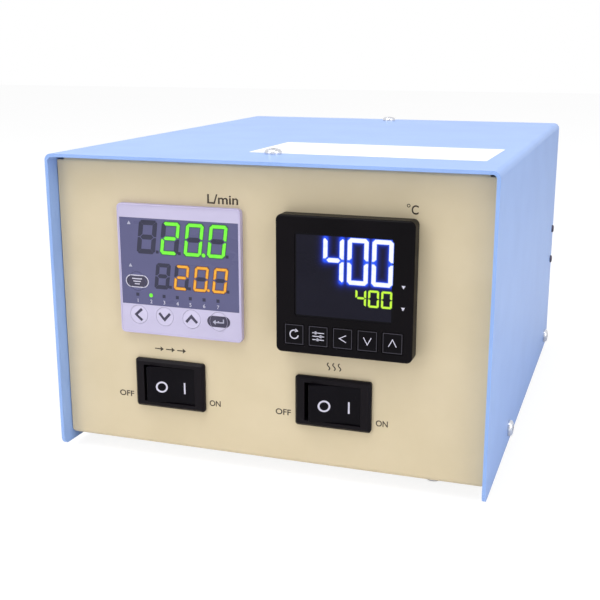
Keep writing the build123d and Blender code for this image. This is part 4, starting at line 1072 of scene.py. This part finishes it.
@dataclass
class Switches:
    """The two rocker switches with their signs. Sizes in millimetres."""

    pieces: Pieces
    edge: float = 0.18
    ring: float = 4.3
    stroke: float = 0.62
    mark_x: float = 4.35
    mark_shift: float = 0.8
    mark_drop: float = 0.8
    ink: float = 0.03
    ahead: float = 2.0          # how far in front of the rocker the print is drawn before it is laid on

    def build(self) -> None:
        """Softens both rockers and prints the circle and the bar on their hollow faces."""
        for name in ("flow_switch", "heater_switch"):
            node = self.pieces.nodes[f"{name}_rocker"]
            self.pieces.soften(node.name, self.edge)
            sheet = Drawing()
            at = (self.mark_shift - self.mark_x, -self.mark_drop)
            sheet.arc(at, (self.ring - self.stroke) / 2, self.stroke, 0, 360, 40)
            sheet.bar((self.mark_shift + self.mark_x, -self.mark_drop), self.stroke, self.ring)
            place = front(node.name, ahead=self.ahead)
            bm = seated(sheet.solid(place, self.ink, 0.0), node, 0.01)
            self.pieces.carry(f"{name}_signs", bm, WHITE_PRINT, node.name)


@dataclass
class PanelPrint:
    """The screened words and pictograms on the beige panel, in millimetres from its middle at the table."""

    lift: float = 2.5
    weight: float = 0.018
    sign_stroke: float = 0.42
    flow_at: Point = (-36.7, 40.9)
    heat_at: Point = (26.3, 40.9)
    state_height: float = 22.0
    state_size: float = 2.25
    states: tuple[tuple[str, float, float], ...] = (
        ("OFF", -55.5, 6.0), ("ON", -19.2, 4.4), ("OFF", 7.4, 5.8), ("ON", 43.85, 4.3),
    )

    def build(self) -> None:
        """Prints the whole panel."""
        low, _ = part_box("chassis")
        place = facing(Vector((0, low.y, self.lift * MM)))
        sheet = Drawing()
        sheet.words("L/min", (-14.7, 97.7), 3.4, 11.7, self.weight)
        sheet.arc((51.3, 98.9), 0.48, 0.27, 0, 360, 16)
        sheet.words("C", (53.5, 97.6), 3.1, 2.35, self.weight)
        for text, x, width in self.states:
            sheet.words(text, (x, self.state_height), self.state_size, width, self.weight)
        self.flow_sign(sheet, self.flow_at)
        self.heat_sign(sheet, self.heat_at)
        piece("panel_print", sheet.solid(place, 0.012, 0.004), PRINT, "controller")

    def flow_sign(self, sheet: Drawing, at: Point) -> None:
        """Draws three arrows in a row for the gas flow."""
        for step in (-1, 0, 1):
            x = at[0] + 4.5 * step
            sheet.line([(x - 1.8, at[1]), (x + 0.5, at[1])], self.sign_stroke)
            sheet.polygon([(x + 0.5, at[1] - 0.95), (x + 1.8, at[1]), (x + 0.5, at[1] + 0.95)])

    def heat_sign(self, sheet: Drawing, at: Point) -> None:
        """Draws three rising waves for the heater."""
        steps = 16
        for column in (-1, 0, 1):
            points = []
            for i in range(steps + 1):
                share = i / steps
                sway = 0.45 * math.sin(share * 2 * math.pi)
                points.append((at[0] + 2.0 * column + sway, at[1] - 1.35 + 2.7 * share))
            sheet.line(points, self.sign_stroke)


@dataclass
class Studio:
    """Floor, lamps, world and camera. Sizes in metres; camera values fitted to the case's edges."""

    camera_place: Place = (0.12311, -0.42366, 0.15239)
    camera_aim: Place = (0.01376, -0.10450, 0.06649)
    focal_length: float = 60.186
    sensor: float = 36.0
    floor_size: float = 6.0
    floor_glow: float = 1.1
    floor_share: float = 0.8
    floor_cloud: float = 400.0
    world_light: float = 0.42

    def build(self) -> None:
        """Builds the whole studio."""
        self.floor()
        self.world()
        self.softbox("overhead", (-0.2, -0.35, 1.2), (0, 0, 0), size=0.9, power=11.5)
        self.softbox("front_fill", (-0.7, -1.1, 0.6), (0, -0.1, 0.06), size=0.6, power=3.0)
        self.softbox("side_fill", (1.1, -0.5, 0.7), (0.08, 0, 0.06), size=0.9, power=5.2)
        self.camera()
        bpy.context.scene.view_settings.view_transform = "Standard"

    def floor(self) -> None:
        """Lays a white floor that keeps the shadow."""
        bm = bmesh.new()
        bmesh.ops.create_grid(bm, x_segments=1, y_segments=1, size=self.floor_size / 2)
        mesh = bpy.data.meshes.new("floor")
        bm.to_mesh(mesh)
        bm.free()
        nodes = Nodes("floor_white")
        clouds = nodes.noise(self.floor_cloud, 2.0)
        tone = nodes.ramp(clouds, ((0.4, (246, 246, 247)), (0.6, (249, 249, 250))))
        nodes.surface(Base_Color=tone, Roughness=0.9)
        lit = nodes.add("Emission", {"Color": (1, 1, 1, 1), "Strength": self.floor_glow})
        seen = nodes.add("LightPath").outputs["Is Camera Ray"]
        share = nodes.add("Math", {0: seen, 1: self.floor_share}, operation="MULTIPLY").outputs[0]
        nodes.mixed(share, nodes.shader, lit)
        mesh.materials.append(nodes.material)
        made = bpy.data.objects.new("floor", mesh)
        bpy.context.scene.collection.objects.link(made)

    def world(self) -> None:
        """Makes the world: plain light, and white to the camera and in reflections."""
        world = bpy.data.worlds.new("studio")
        bpy.context.scene.world = world
        nodes = Tree(world, "World Output")
        plain, white = (
            nodes.add("Background", {"Color": (1, 1, 1, 1), "Strength": level})
            for level in (self.world_light, 1.0)
        )
        rays = nodes.add("LightPath").outputs
        seen = rays["Is Camera Ray"]
        for kind in ("Is Glossy Ray", "Is Transmission Ray"):
            seen = nodes.add("Math", {0: seen, 1: rays[kind]}, operation="MAXIMUM").outputs[0]
        nodes.mixed(seen, plain, white)

    @staticmethod
    def hang(name: str, data: bpy.types.ID, at: Place, aim: Place) -> Object:
        """Puts a lamp or the camera in its place, facing a point."""
        made = bpy.data.objects.new(name, data)
        made.location = at
        made.rotation_euler = (Vector(aim) - Vector(at)).to_track_quat("-Z", "Y").to_euler()
        bpy.context.scene.collection.objects.link(made)
        return made

    def softbox(self, name: str, at: Place, aim: Place, size: float, power: float) -> None:
        """Hangs a square lamp with sides of a given size and its power in watts."""
        lamp = bpy.data.lights.new(name, "AREA")
        lamp.size = size
        lamp.energy = power
        self.hang(name, lamp, at, aim)

    def camera(self) -> None:
        """Sets the camera at the photograph's viewing angle."""
        data = bpy.data.cameras.new("camera")
        data.lens = self.focal_length
        data.sensor_width = self.sensor
        bpy.context.scene.camera = self.hang("camera", data, self.camera_place, self.camera_aim)


def dress(frame: dict, slots: dict[str, str]) -> None:
    """Gives every carried-over node the finish of its slot."""
    for name, node in frame["nodes"].items():
        node.data.materials.clear()
        node.data.materials.append(SLOT_FINISHES[slots[name]].material())


def main() -> None:
    """Builds the object's looks around the frame."""
    logging.basicConfig(level=logging.INFO, format="%(message)s")
    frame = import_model()
    record = frame["record"]
    slots = {part["node"]: part["material_slot"] for part in record["subparts"]}
    bodies = {node: body for body, nodes in record["behaviour"]["bodies"].items() for node in nodes}
    dress(frame, slots)
    pieces = Pieces(frame["nodes"], bodies, slots)
    Case(pieces).build()
    FlowDisplay(pieces).build()
    TemperatureDisplay(pieces).build()
    Switches(pieces).build()
    PanelPrint().build()
    Studio().build()


if __name__ == "__main__":
    main()
